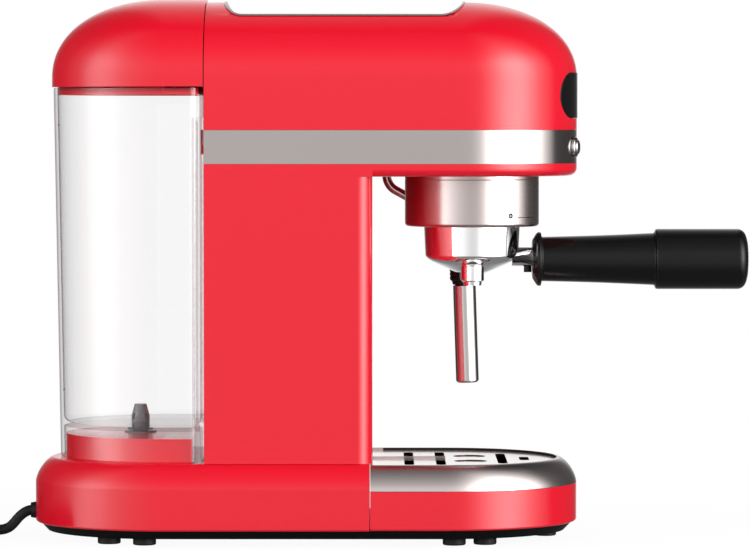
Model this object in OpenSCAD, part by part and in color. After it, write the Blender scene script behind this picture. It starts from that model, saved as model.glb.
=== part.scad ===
// Slim pump espresso machine with a domed head, a clear tank behind and a bayonet portafilter.
// Millimetres. Front is -Y, the user's right is +X, up is +Z. The origin is on the counter,
// in the symmetry plane, at the middle of the base's length.

/* [Base] */
// Length of the base over both round ends
base_len = 310; // [290:1:330]
// Width of the base
base_w = 150; // [144:1:160]
// Height of the red part of the base
base_shell_h = 37; // [33:0.5:42]
// Wall of the red housings
wall = 2.6; // [2:0.1:3.2]
// Horizontal reach of the rounded shoulder
shoulder_w = 10.4; // [7:0.2:12]
// Height of the rounded shoulder
shoulder_h = 14; // [10:0.5:17]
// Bevel round the lower edge of the base
base_bevel = 1.25; // [1:0.25:3]
// Thickness of the black bottom plate
plate_t = 4.8; // [4:0.2:6]
// Distance from the base's edge in to the bottom plate's edge
plate_inset = 2.4; // [2:0.2:4]
// Slant of the bottom plate's edge, inwards to its underside
plate_slant = 4.6; // [2:0.2:6]
// Height of the rubber feet under the bottom plate
foot_h = 4.2; // [3:0.2:6]
// Diameter of a rubber foot
foot_d = 13; // [10:0.5:16]
// Radius on which the feet stand round each end of the base
foot_ring_r = 57; // [50:0.5:60]

/* [Drip tray] */
// Step from the column's front face back to the tray's rear face
tray_step = 1.6; // [1:0.1:3]
// Gap between the tray and the base behind it
tray_gap = 0.4; // [0.3:0.05:0.8]
// Height of the red tub up to the steel surround
tub_h = 22; // [17:0.5:24]
// Wall of the tub
tub_wall = 2.2; // [1.8:0.1:2.8]
// Thickness of the steel surround
surround_t = 0.9; // [0.6:0.1:1.2]
// Thickness of the drip grille
grille_t = 1.2; // [0.8:0.1:1.6]
// Depth of the grille's top below the rim of the surround
grille_drop = 1.4; // [0.8:0.1:1.8]
// Width of a grille slot
slot_w = 5.5; // [4:0.25:6.5]
// Distance between the slots of the grille
slot_pitch = 18; // [15:0.5:20]
// Diameter of the two round dimples in the grille
dimple_d = 18.7; // [15:0.1:22]

/* [Column and head] */
// Width of the column, the head and the tank lid
body_w = 132; // [128:1:138]
// Distance from the origin back to the joint between the body and the tank
seam_y = 56; // [52:0.5:60]
// Depth of the column
column_depth = 94; // [90:0.5:98]
// Height of the column
column_h = 160.6; // [150:0.2:170]
// Corner radius at the front of the column
column_corner_r = 9; // [5:0.5:12]
// Distance from the origin forward to the tip of the head
head_reach = 155; // [150:0.5:160]
// Height of the red lip under the steel band
pan_h = 7.1; // [6:0.1:9]
// Edge radius under the head
pan_edge_r = 4.5; // [2:0.25:5.5]
// Height of the steel band
band_h = 19; // [17:0.5:22]
// Thickness of the steel band
band_t = 1.2; // [0.8:0.1:1.6]
// Thickness of the wall behind the steel band
band_seat_t = 2; // [1.6:0.1:2.6]
// Straight height of the head cover below its dome
cover_side_h = 29.3; // [26:0.1:34]
// Rise of the head's dome
dome_h = 43.5; // [38:0.5:48]
// Squareness of the dome, where 2 is an ellipse
dome_power = 2.15; // [2:0.05:2.4]

/* [Cup warmer] */
// Depth of the scoop below the top of the dome
scoop_depth = 7.5; // [6:0.25:9]
// Length of the flat floor of the scoop
scoop_len = 111; // [100:1:114]
// Distance from the tank joint forward to the flat floor
scoop_rear_gap = 21; // [18:0.5:24]
// Radius of the ramp at the rear of the scoop
ramp_rear_r = 10.6; // [9:0.2:12]
// Radius of the ramp at the front of the scoop
ramp_front_r = 15.9; // [13:0.2:17]
// Thickness of the cup plate
cup_plate_t = 1; // [0.8:0.1:1.4]
// Height by which the ends of the cup plate stand proud of the dome
cup_plate_proud = 0.5; // [0.3:0.1:0.8]

/* [Display and buttons] */
// Height of the display panel
display_h = 25.8; // [22:0.2:26]
// Width of the display panel across its round ends
display_w = 73; // [66:0.5:78]
// Height of the display panel's lower edge above the steel band
display_rise = 6.7; // [5:0.1:7.5]
// Thickness of the display panel
display_t = 2.2; // [1.6:0.1:2.4]
// Height of the panel's face above the cover
display_proud = 0.3; // [0.2:0.05:0.6]
// Diameter of a button's chrome ring
bezel_d = 11.6; // [10.5:0.1:13]
// Diameter of a button cap
cap_d = 8.4; // [7.2:0.1:9]
// Height of the chrome ring above the band
bezel_proud = 1.7; // [1.4:0.1:2.2]
// Height of the button cap above the chrome ring
cap_proud = 1.4; // [1.2:0.1:1.6]
// Travel of a push-button
button_travel = 1; // [0.6:0.1:1.1]
// Angle of each button from the middle of the front
button_angle = 15.5; // [13:0.5:18]
// Height of the button centres above the lower edge of the band
button_rise = 9.2; // [8.8:0.1:10.2]

/* [Group and portafilter] */
// Distance from the origin forward to the group axis
group_reach = 95; // [92:0.5:97]
// Outer diameter of the brushed ring round the group
group_d = 76.7; // [75:0.1:80]
// Height of the brushed ring below the head
group_h = 29; // [27:0.2:30]
// Thickness of the brushed ring
group_skin_t = 1.4; // [1:0.1:1.6]
// Outer diameter of the portafilter bowl at its rim
bowl_d = 56; // [54:0.2:57]
// Wall of the portafilter bowl
bowl_wall = 2.4; // [2:0.1:3]
// Height of the straight side of the bowl
bowl_side_h = 27.8; // [26:0.2:29]
// Narrowing of the bowl's radius from its rim to its lower edge
bowl_taper = 1.3; // [0.6:0.1:2]
// Depth of the dished bottom of the bowl
bowl_dish_h = 9.8; // [8.4:0.2:11]
// Reach of a bayonet lug beyond the bowl
lug_reach = 6; // [5:0.1:6.4]
// Height of a bayonet lug
lug_h = 4.8; // [4:0.1:5.4]
// Angle that a bayonet lug spans
lug_angle = 50; // [40:1:56]
// Angle from locked to the open mark
lock_turn = 45; // [42:1:50]
// Thickness of the group gasket
gasket_t = 6.6; // [5.5:0.1:7.5]
// Thickness of the filter basket's wall
basket_t = 0.8; // [0.6:0.1:1.2]
// Depth of the filter basket
basket_depth = 20; // [16:0.5:22]
// Distance between the two spout outlets
spout_pitch = 38; // [34:1:40]
// Diameter of a spout outlet
spout_d = 13; // [11.5:0.25:14]
// Bore of a spout outlet
spout_bore_d = 5; // [4:0.25:5.5]
// Height of a spout outlet
spout_h = 10.5; // [8.5:0.25:11]

/* [Handle] */
// Height of the handle axis below the head
handle_drop = 47.9; // [46:0.1:49]
// Distance from the group axis to the handle's flange
handle_start = 34.5; // [34:0.5:40]
// Length of the handle with its flange
handle_len = 124; // [110:1:135]
// Diameter of the handle's flange
flange_d = 31; // [28:0.5:34]
// Diameter of the grip where it leaves the flange
grip_d = 25.4; // [23:0.2:27]
// Diameter of the grip where it meets the end knob
grip_end_d = 29.8; // [27.5:0.2:31]
// Diameter of the end knob
knob_end_d = 34.5; // [32:0.5:37]
// Length of the end knob
knob_end_len = 53.5; // [48:0.5:58]
// Height of the neck between the bowl and the handle, and its width at the handle
neck_d = 11; // [9:0.25:12.5]
// Width of the neck where it meets the bowl
neck_w = 24; // [16:1:28]
// Height of the neck's middle above the handle's axis
neck_rise = 1.4; // [0:0.1:2]

/* [Steam wand] */
// Distance of the steam wand to the right of the symmetry plane
wand_x = 48; // [47:0.5:50]
// Distance from the origin forward to the wand's swivel
wand_reach = 46.3; // [46:0.1:49]
// Diameter of the steam tube
wand_d = 5.2; // [4.8:0.1:6]
// Distance from the swivel forward to the top of the frother sleeve
wand_offset = 45.4; // [42:0.1:46]
// Straight run of the tube above the sleeve
wand_run = 34; // [30:0.5:38]
// Radius of the tube's two bends
bend_r = 10; // [8:0.5:12]
// Backward lean of the lower wand, in degrees
wand_lean = 1.9; // [1:0.1:3]
// Distance from the head down to the top of the frother sleeve
sleeve_drop = 64.6; // [62:0.2:67]
// Length of the frother sleeve
sleeve_len = 57; // [50:0.5:60]
// Diameter of the frother sleeve
sleeve_d = 13.3; // [12:0.1:14.5]
// Wall of the frother sleeve
sleeve_wall = 1; // [0.8:0.1:1.4]
// Diameter of the black collar above the sleeve
collar_d = 16.6; // [15:0.1:18]
// Height of the black collar
collar_h = 10; // [8:0.5:12]
// Diameter of the steam knob
steam_knob_d = 27; // [24:0.5:28]
// Depth of the steam knob
steam_knob_h = 17; // [14:0.5:22]
// Diameter of the valve spindle
spindle_d = 6; // [5:0.1:7]

/* [Water tank] */
// Distance from the origin back to the rear of the tank lid
lid_reach = 145.2; // [142:0.2:148]
// Height of the tank lid's edge above the head's underside
lid_rise = 50.4; // [47:0.2:53]
// Straight height of the lid below its dome
lid_side_h = 5; // [4:0.25:8]
// Rise of the lid's dome
lid_dome_h = 45; // [40:0.5:48]
// Depth of the lid's rim inside the tank
lid_plug_h = 4; // [3:0.25:6]
// Distance from the lid's side in to the tank's side
tank_inset = 0.9; // [0.6:0.1:1.6]
// Narrowing of the tank from its top to its bottom, on each side
tank_draft = 3.7; // [2.5:0.1:4.5]
// Wall of the clear tank
tank_wall = 2.2; // [1.8:0.1:2.8]
// Height of the tank floor above the base
tank_floor_rise = 19.8; // [18.5:0.1:22]
// Gap between the tank and the pieces round it
tank_gap = 0.5; // [0.4:0.05:0.8]
// Height of the tank's pedestal on the base
pedestal_h = 13.5; // [12:0.25:14.5]
// Half the width of the pedestal
pedestal_r = 58.3; // [56:0.1:58.8]
// Distance from the tank joint back to the pedestal
pedestal_gap = 7; // [6:0.25:9]
// Distance from the origin back to the tank valve
valve_reach = 95; // [90:0.5:100]
// Diameter of the tank valve where it passes the tank floor
valve_d = 9; // [8:0.1:10]
// Diameter of the tank valve's flange under the floor
valve_flange_d = 14.4; // [13:0.2:16]
// Lift of the valve plunger
valve_lift = 1.6; // [1:0.1:2]
// Width of the channel in the tank's front wall
channel_w = 32; // [26:1:40]
// Depth of the channel
channel_depth = 4.2; // [4:0.1:5]
// Width of the hook that holds the tank
hook_w = 22; // [14:1:24]
// Height of the hook
hook_h = 14; // [11:0.5:16]

/* [Inside] */
// Room between the thermoblock and the front of the head
thermoblock_room = 26; // [22:0.5:29]
// Height of the thermoblock
thermoblock_h = 40; // [34:1:46]
// Diameter of the pump's coil block
pump_d = 44; // [38:1:50]
// Length of the pump
pump_len = 110; // [95:1:120]
// Outer diameter of the silicone hoses
hose_d = 7; // [6:0.25:8]
// Diameter of a housing screw's head
screw_head_d = 6.4; // [5:0.1:7.5]
// Length of a housing screw's shank above the bottom plate
screw_l = 12; // [10:0.5:13]
// Front housing screws, in from the circle of the feet
screw_front_in = 7; // [6:0.5:9]
// Front housing screws, ahead of the centre of the base's rear end
screw_front_reach = 40; // [36:0.5:44]
// Rear housing screws, in from the circle of the feet
screw_rear_in = 17; // [15.5:0.25:18]
// Rear housing screws, behind the centre of the tank's round end
screw_rear_reach = 32.8; // [32:0.1:33.5]
// Length of the tank inlet's tail below the valve's seat
inlet_tail_l = 13; // [11:0.5:15]

/* [Cord] */
// Diameter of the power cord
cord_d = 6; // [6:0.1:6]

/* [Hidden] */
$fn = 72;

// Colours
red = [0.90, 0.16, 0.21];
black = [0.06, 0.06, 0.07];
steel = [0.72, 0.69, 0.67];
chrome = [0.86, 0.86, 0.88];
clear = [0.80, 0.86, 0.90, 0.35];
grey = [0.45, 0.45, 0.47];
alloy = [0.66, 0.67, 0.69];
brass = [0.72, 0.58, 0.30];
rubber = [0.12, 0.12, 0.12];
silicone = [0.86, 0.86, 0.82];

// Clearances
slide_gap = 0.3; // between pieces that move past each other
seat_gap = 0.1;  // round a piece that sits in a hole or a pocket
shaft_gap = 0.06; // round a shaft that turns in its bore
eps = 0.5;       // overrun of a cut

// Levels, from the counter up
base_z = foot_h + plate_t;
base_top = base_z + base_shell_h;
pan_z = base_top + column_h;
band_z = pan_z + pan_h;
cover_z = band_z + band_h;
dome_z = cover_z + cover_side_h;
head_top = dome_z + dome_h;
lid_z = pan_z + lid_rise;
lid_dome_z = lid_z + lid_side_h;

// Plan of the base
base_r = base_w / 2;
base_end_y = base_len / 2 - base_r; // centres of the round ends
plate_r = base_r - plate_inset; // at the plate's upper face
// Drip tray
tray_z = base_z + slide_gap;
tub_top = tray_z + tub_h;
rim_z = base_top - 0.5;
rim_r = base_r - shoulder_w;
ledge_r = rim_r - surround_t - seat_gap;
seat_z = rim_z - grille_drop - grille_t; // ledge that carries the grille

// Plan of the body
body_r = body_w / 2;
head_y = body_r - head_reach;       // centre of the round head front
lid_y = lid_reach - body_r;         // centre of the round lid rear
screw_places = [for (q = [[foot_ring_r - screw_front_in, base_end_y - screw_front_reach],
    [foot_ring_r - screw_rear_in, lid_y + screw_rear_reach]], s = [-1, 1]) [s * q[0], q[1]]];
column_y = seam_y - column_depth;   // front face of the column
split_y = column_y + tray_step;     // rear face of the tray
inner_r = body_r - wall;
panel_r = inner_r - seat_gap;
seat_r = body_r - band_t - seat_gap;
frame_r = seat_r - band_seat_t;     // inside of the wall behind the band

// Cup warmer
scoop_z = head_top - scoop_depth;
scoop_y1 = seam_y - scoop_rear_gap;
scoop_y0 = scoop_y1 - scoop_len;

// Group and portafilter, measured down from the head's underside
group_y = -group_reach;
group_r = group_d / 2;
group_z = pan_z - group_h;
casting_r = group_r - group_skin_t - seat_gap;
bowl_r = bowl_d / 2;
lug_r = bowl_r + lug_reach;
groove_r = lug_r + slide_gap * 2;
throat_r = bowl_r + 1.2;
lip_z = group_z + 1;
lip_h = 3.2;
lug_z = lip_z + lip_h + slide_gap;
groove_top = lug_z + lug_h + slide_gap * 2;
basket_rim_z = groove_top + 1.8;
gasket_z = basket_rim_z + slide_gap;
group_ceiling = gasket_z + gasket_t;
bowl_top = basket_rim_z - basket_t;
bowl_edge_z = bowl_top - bowl_side_h;
bowl_low_r = bowl_r - bowl_taper;
bowl_boss_r = 8.6;
bowl_boss_z = bowl_edge_z - bowl_dish_h;
bowl_in_r = bowl_low_r - bowl_wall;
basket_r = bowl_in_r - 1.4;
outlet_z = bowl_boss_z - 4.5;
neck_r = group_r - group_skin_t - 6; // outside of the casting's neck through the head pan

// Handle
handle_z = pan_z - handle_drop;
handle_y = group_y - handle_start;
stud_d = 6;
stud_len = 22;
screw_d = 4.4; // head of the screw under the neck

// Steam wand
swivel_y = -wand_reach;
sleeve_y = swivel_y - wand_offset;
sleeve_z = pan_z - sleeve_drop;
swivel_d = 10;
knob_z = cover_z + cover_side_h / 2;
steam_valve_d = 20;
gland_h = 1;

// Tank
tank_top = lid_z - tank_gap;
tank_bottom = base_top + tank_gap;
tank_y = seam_y + tank_gap;
tank_r1 = body_r - tank_inset;
tank_r0 = tank_r1 - tank_draft;
tank_floor = base_top + tank_floor_rise;
pedestal_top = base_top + pedestal_h;
pedestal_y = seam_y + pedestal_gap;
channel_top = cover_z + 5;
hook_z = cover_z - hook_h;
hook_bar = 1.5;
valve_z = pedestal_top - 7.5; // lower end of the valve body
valve_flange_z = tank_floor - tank_wall - 2.5;
valve_cap_d = 10.4;
plunger_d = 3.6;
thermoblock_d = 2 * (head_reach - group_reach - thermoblock_room);
block_r = thermoblock_d / 2 - 5; // of the thermoblock's upper step
nipple_l = 3;
inlet_gap = 0.7;     // round the valve body in the inlet
plunger_z = valve_z - slide_gap + 0.05; // lower end of the stem, on the inlet's floor
valve_cap_top = tank_floor + 9.8;

// Pump
pump_y = 6;
pump_z = base_top + 6;

// Display and buttons
display_z = cover_z + display_rise + display_h / 2;
button_z = band_z + button_rise;
barrel_d = bezel_d - 1.2;

// Cord route: out of the gland, down to the counter and back to the coil
cord_points = [[0, 155, 14.6], [0, 157, 14.7], [0, 160, 14], [0, 163, 12.2], [0, 166, 9.3],
    [0, 168.5, 6.4], [0, 171, 4.3], [0, 174, 3.3], [0, 178, 3], [0, 182, 3], [0.7, 188, 3],
    [2.6, 193, 3], [6, 199, 3], [10, 204.5, 3]];
tail_points = [[-13, 187.3, 9], [-8, 188.6, 9], [-3, 189.9, 9], [2, 191.3, 9], [7, 192.6, 9],
    [12, 194, 9]];
gland_z = 14.6;
coil_center = [-23, 225];
coil_r = 33; // middle of the turns, three side by side and two high
plug_turn = 15;

// Points on an arc, from angle a0 to a1
function arc(cx, cy, r, a0, a1, n = 8) =
    [for (i = [0 : n]) let (a = a0 + (a1 - a0) * i / n) [cx + r * cos(a), cy + r * sin(a)]];

// Quarter of a squared ellipse, from the side up to the middle
function dome_points(r, z, h, p, n = 14) =
    [for (i = [0 : n]) let (a = 90 * i / n)
        [i == n ? 0 : r * pow(cos(a), 2 / p), z + h * pow(sin(a), 2 / p)]];

// Rounded shoulder at radius r that ends at height z, set in by t
function shoulder_points(r, z, t, n = 8) =
    [for (i = [0 : n]) let (a = 90 * i / n)
        [r - shoulder_w + (shoulder_w - t) * cos(a), z - shoulder_h + (shoulder_h - t) * sin(a)]];

function mirrored(p) = [for (i = [len(p) - 1 : -1 : 0]) if (p[i][0] > 0) [-p[i][0], p[i][1]]];

// Straight stretch of a half profile, from y0 back to y1
module run(p, y0, y1) {
    translate([0, y1, 0]) rotate([90, 0, 0]) linear_extrude(y1 - y0) polygon(concat(p, mirrored(p)));
}

// Half-round end of the same profile, about a vertical axis at y
module rear_end(p, y) {
    translate([0, y, 0]) rotate_extrude(angle = 180) polygon(p);
}

module front_end(p, y) {
    translate([0, y, 0]) rotate(180) rotate_extrude(angle = 180) polygon(p);
}

module round_front(p, y, y1) {
    front_end(p, y);
    run(p, y, y1);
}

module round_rear(p, y0, y) {
    run(p, y0, y);
    rear_end(p, y);
}

// Upright wall outline from z0 to z1 with radius r
function block(r, z0, z1) = [[0, z0], [r, z0], [r, z1], [0, z1]];

// Horizontal cylinder along X between x0 and x1
module bar_x(d, x0, x1, y, z) {
    translate([x0, y, z]) rotate([0, 90, 0]) cylinder(d = d, h = x1 - x0);
}

// Turned piece with its axis along -Y, starting at y
module turned_forward(p, y, z) {
    translate([0, y, z]) rotate([90, 0, 0]) rotate_extrude() polygon(p);
}

// Tube of n sides that follows smooth points
function unit(v) = v / norm(v);
function smooth(p, i, t) = let (a = p[max(i - 1, 0)], b = p[i], c = p[i + 1],
    d = p[min(i + 2, len(p) - 1)])
    0.5 * (2 * b + (c - a) * t + (2 * a - 5 * b + 4 * c - d) * t * t
        + (3 * b - a - 3 * c + d) * t * t * t);
function path(p, steps) = concat(
    [for (i = [0 : len(p) - 2], s = [0 : steps - 1]) smooth(p, i, s / steps)], [p[len(p) - 1]]);

module tube_along(p, d, steps = 1, n = 8, side = [1, 0, 0]) {
    q = path(p, steps);
    last = len(q) - 1;
    rings = [for (i = [0 : last])
        let (t = unit(q[min(i + 1, last)] - q[max(i - 1, 0)]),
            u = unit(cross(side, t)), v = cross(t, u))
        for (k = [0 : n - 1]) q[i] + d / 2 * (u * cos(360 * k / n) + v * sin(360 * k / n))];
    sides = [for (i = [0 : last - 1], k = [0 : n - 1]) let (j = (k + 1) % n)
        [i * n + k, i * n + j, (i + 1) * n + j, (i + 1) * n + k]];
    polyhedron(rings, concat(sides, [[for (k = [n - 1 : -1 : 0]) k]],
        [[for (k = [0 : n - 1]) last * n + k]]), convexity = 8);
}

// ---- Base ----

function base_profile(t) = concat([[0, base_z + (t > 0 ? -eps : 0)],
    [base_r - base_bevel - t, base_z + (t > 0 ? -eps : 0)], [base_r - t, base_z + base_bevel]],
    shoulder_points(base_r, base_top, t), [[0, base_top - t]]);

module base_housing() color(red) {
    difference() {
        union() {
            round_rear(base_profile(0), split_y, base_end_y);
            round_rear(block(pedestal_r, base_top, pedestal_top), pedestal_y, lid_y);
        }
        difference() {
            union() {
                round_rear(base_profile(wall), split_y + wall, base_end_y);
                round_rear(block(pedestal_r - wall, base_top - wall - eps, pedestal_top - wall),
                    pedestal_y + wall, lid_y);
            }
            for (p = screw_places) translate([p[0], p[1], base_z]) cylinder(d = 9, h = base_shell_h);
            translate([0, valve_reach, base_top - wall - 4])
                cylinder(d = valve_flange_d + 7, h = pedestal_h + wall + 4);
        }
        // passage up into the column
        translate([-34, column_y + 14, base_top - wall - eps]) cube([68, 60, wall + 2 * eps]);
        for (p = screw_places) translate([p[0], p[1], base_z - eps]) cylinder(d = 3.2, h = screw_l + 2 + eps);
        // well for the tank inlet, open to the hose below
        translate([0, valve_reach, base_z - eps])
            cylinder(d = valve_flange_d + 2, h = base_shell_h + pedestal_h + 2 * eps);
        translate([0, base_len / 2 - 2 * wall, gland_z]) rotate([-90, 0, 0])
            cylinder(d = cord_d + 2 + 2 * seat_gap, h = 3 * wall);
    }
}

module bottom_plate() color(black) difference() {
    p = [[0, foot_h], [plate_r - plate_slant, foot_h], [plate_r, base_z], [0, base_z]];
    union() {
        round_rear(p, 0, base_end_y);
        round_front(p, -base_end_y, 0);
    }
    for (q = screw_places) translate([q[0], q[1], 0]) {
        translate([0, 0, foot_h - eps]) cylinder(d = 3.6, h = plate_t + 2 * eps);
        translate([0, 0, foot_h - eps]) cylinder(d = screw_head_d + 0.4, h = 2.4 + eps);
    }
    // cooling slots under the pump
    for (i = [-3 : 3]) translate([-18, 33 + i * 7, foot_h - eps]) cube([36, 2.6, plate_t + 2 * eps]);
    foot_places() translate([0, 0, foot_h - eps]) cylinder(d = foot_d * 0.5, h = plate_t * 0.6 + eps);
}

module foot_places() {
    for (a = [10, 32], s = [-1, 1])
        translate([s * foot_ring_r * cos(a), base_end_y + foot_ring_r * sin(a), 0]) children();
    for (a = [4, 22], s = [-1, 1])
        translate([s * foot_ring_r * cos(a), -base_end_y - foot_ring_r * sin(a), 0]) children();
    translate([0, -base_end_y - foot_ring_r, 0]) children();
    // under the middle, where the long plate would sag
    children();
}

module rubber_feet() color(rubber) foot_places() rotate_extrude()
    polygon([[0, 0], [foot_d / 2 - 0.8, 0], [foot_d / 2, 0.8], [foot_d / 2, foot_h],
        [foot_d / 4 - seat_gap, foot_h], [foot_d / 4 - seat_gap, foot_h + plate_t * 0.6],
        [0, foot_h + plate_t * 0.6]]);

module housing_screws() color(steel) for (q = screw_places) translate([q[0], q[1], foot_h]) difference() {
    union() {
        translate([0, 0, 0.2]) cylinder(d = screw_head_d, h = 2.2);
        cylinder(d = 3, h = plate_t + screw_l);
    }
    translate([-2.2, -0.4, -eps]) cube([4.4, 0.8, 1.3 + eps]);
    translate([-0.4, -2.2, -eps]) cube([0.8, 4.4, 1.3 + eps]);
}

// Strain relief, most of it inside the base, with a small flange outside
module cord_gland() color(black) translate([0, base_len / 2, gland_z]) rotate([-90, 0, 0]) difference() {
    union() {
        translate([0, 0, -20]) cylinder(d1 = cord_d + 0.8, d2 = cord_d + 2, h = 20.2);
        translate([0, 0, 0.1]) cylinder(d1 = cord_d + 3.6, d2 = cord_d + 2.6, h = 2.9);
        translate([0, 0, -wall - 2.5]) cylinder(d = cord_d + 3.6, h = 1.5);
    }
    translate([0, 0, -21]) cylinder(d = cord_d - 1, h = 21);
    translate([0, 0, -0.2]) cylinder(d1 = cord_d, d2 = cord_d + 1.4, h = 3.3);
}

// ---- Drip tray ----

module drip_tray() color(red) difference() {
    union() {
        round_front([[0, tray_z], [base_r - base_bevel, tray_z], [base_r, tray_z + base_bevel],
            [base_r, tub_top], [0, tub_top]], -base_end_y, split_y - tray_gap);
        round_front(block(ledge_r, tub_top - eps, seat_z), -base_end_y,
            split_y - tray_gap - surround_t - seat_gap);
    }
    round_front(block(ledge_r - tub_wall, tray_z + tub_wall, seat_z + eps), -base_end_y,
        split_y - tray_gap - surround_t - tub_wall);
    // hollow under the surround
    difference() {
        round_front(block(base_r - tub_wall, tray_z + base_bevel + tub_wall, tub_top + eps), -base_end_y,
            split_y - tray_gap - tub_wall);
        round_front(block(ledge_r + 0.01, tray_z, tub_top + 2 * eps), -base_end_y, split_y);
    }
}

function surround_profile(t) = concat([[0, tub_top], [base_r - t, tub_top]],
    shoulder_points(base_r, rim_z, t), [[0, rim_z - t]]);

module tray_surround() color(steel) difference() {
    round_front(surround_profile(0), -base_end_y, split_y - tray_gap);
    difference() {
        translate([0, 0, -0.01])
            round_front(surround_profile(surround_t), -base_end_y, split_y - tray_gap + eps);
        round_front(block(rim_r, tub_top + 4, base_top), -base_end_y, split_y + 2);
    }
    round_front(block(ledge_r + seat_gap, tub_top - eps, base_top + eps), -base_end_y,
        split_y - tray_gap - surround_t);
}

// Slot across the grille with round ends
module slot(half, y) {
    translate([0, y, 0]) linear_extrude(grille_t + 2 * eps) {
        square([2 * (half - slot_w / 2), slot_w], center = true);
        for (s = [-1, 1]) translate([s * (half - slot_w / 2), 0]) circle(d = slot_w);
    }
}

module drip_grille() color(steel) {
    grille_r = ledge_r - slide_gap;
    grille_z = seat_z;
    mid_y = group_y + 1;
    difference() {
        round_front(block(grille_r, grille_z, grille_z + grille_t), -base_end_y,
            split_y - tray_gap - surround_t - slide_gap);
        translate([0, 0, grille_z - eps]) {
            slot(46, mid_y + slot_pitch * 0.95);
            slot(46, mid_y + slot_pitch * 1.95);
            slot(36, mid_y - slot_pitch);
            slot(12, mid_y - slot_pitch * 1.72);
        }
        for (s = [-1, 1]) translate([s * slot_pitch, mid_y, grille_z + grille_t / 2])
            cylinder(d1 = dimple_d - 3, d2 = dimple_d, h = grille_t / 2 + eps);
    }
}

// ---- Column and head ----

module column_outline(t, extra) {
    w = body_r - t;
    r = column_corner_r - t;
    y0 = column_y + t;
    y1 = seam_y + extra;
    polygon(concat([[w, y1], [-w, y1]], arc(-w + r, y0 + r, r, 180, 270), arc(w - r, y0 + r, r, 270, 360)));
}

module rear_panel() color(red) {
    translate([-panel_r, seam_y - wall, base_top]) cube([2 * panel_r, wall, cover_z - base_top]);
    // hook: a stem and a lip that stands behind the tank's bar
    lip_y = seam_y + channel_depth - slide_gap - 1;
    translate([-hook_w / 2, seam_y - eps, hook_z]) cube([hook_w, lip_y + 1 - seam_y + eps, 4.5]);
    translate([-hook_w / 2, lip_y, hook_z]) cube([hook_w, 1, hook_h]);
}

// Column and the pan under the head, moulded in one
module body_housing() color(red) {
    lip = concat([[0, pan_z], [body_r - pan_edge_r, pan_z]],
        arc(body_r - pan_edge_r, pan_z + pan_edge_r, pan_edge_r, -90, 0), [[body_r, band_z], [0, band_z]]);
    difference() {
        union() {
            translate([0, 0, base_top]) linear_extrude(column_h) column_outline(0, 0);
            round_front(lip, head_y, column_y);
            run(block(body_r, pan_z, band_z), column_y, seam_y);
            round_front(block(seat_r, band_z - eps, cover_z), head_y, seam_y);
        }
        translate([0, 0, base_top - eps]) linear_extrude(column_h + pan_h) column_outline(wall, eps);
        round_front(block(frame_r, pan_z + wall, cover_z + eps), head_y, seam_y + eps);
        // slot for the rear panel
        translate([-inner_r, seam_y - wall - seat_gap, pan_z - eps])
            cube([2 * inner_r, wall + seat_gap + eps, cover_z - pan_z + 2 * eps]);
        translate([0, group_y, pan_z - eps]) cylinder(r = neck_r + seat_gap, h = wall + 2 * eps);
        translate([wand_x, swivel_y, pan_z - eps])
            cylinder(d = swivel_d + 2 * shaft_gap, h = wall + 2 * eps);
        button_holes();
    }
}

module steel_band() color(steel) difference() {
    round_front(block(body_r, band_z, cover_z), head_y, seam_y);
    round_front(block(seat_r + seat_gap, band_z - eps, cover_z + eps), head_y, seam_y + eps);
    button_holes();
}

module button_holes() {
    for (s = [-1, 1]) at_button(s) translate([0, 0, body_r - 12])
        cylinder(d = barrel_d + 2 * seat_gap, h = 14);
}

// Places its children on a button's axis, with local +Z pointing outwards
module at_button(s) {
    translate([0, head_y, button_z]) rotate(s * button_angle) rotate([90, 0, 0]) children();
}

// Outline of the scoop seen from the side, set down by t
function scoop_points(t) = let (top = scoop_z + ramp_front_r + ramp_rear_r) concat(
    arc(scoop_y1, scoop_z + ramp_rear_r, ramp_rear_r + t, -90, 0),
    [[scoop_y1 + ramp_rear_r + t, top], [scoop_y0 - ramp_front_r - t, top]],
    arc(scoop_y0, scoop_z + ramp_front_r, ramp_front_r + t, 180, 270));

module scoop(t) {
    rotate([90, 0, 90]) translate([0, 0, -body_w]) linear_extrude(2 * body_w) polygon(scoop_points(t));
}

module head_form(t, z0) {
    p = concat([[0, z0], [body_r - t, z0]], dome_points(body_r - t, dome_z, dome_h - t, dome_power));
    round_front(p, head_y, seam_y - max(t, 0));
}

module display_outline(gap) {
    h = display_h + 2 * gap;
    w = display_w + 2 * gap;
    translate([0, head_y, display_z]) rotate([90, 0, 0]) linear_extrude(body_w) {
        square([w - h, h], center = true);
        for (s = [-1, 1]) translate([s * (w - h) / 2, 0]) circle(d = h);
    }
}

module head_cover() color(red) difference() {
    head_form(0, cover_z);
    difference() {
        head_form(wall, cover_z - eps);
        scoop(cup_plate_t + wall);
    }
    scoop(cup_plate_t);
    difference() {
        display_outline(seat_gap);
        translate([0, head_y, cover_z]) cylinder(r = body_r + display_proud - display_t, h = 2 * display_h);
    }
    bar_x(spindle_d + 3, body_r - wall - eps, body_r + eps, swivel_y, knob_z);
}

module cup_plate() color(steel) intersection() {
    difference() {
        scoop(cup_plate_t);
        scoop(0);
    }
    head_form(-cup_plate_proud, cover_z + cover_side_h / 2);
}

module display_panel() color(black) difference() {
    intersection() {
        display_outline(0);
        translate([0, head_y, cover_z]) cylinder(r = body_r + display_proud, h = 2 * display_h);
    }
    translate([0, head_y, cover_z - eps])
        cylinder(r = body_r + display_proud - display_t, h = 2 * display_h + 2 * eps);
}

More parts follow.
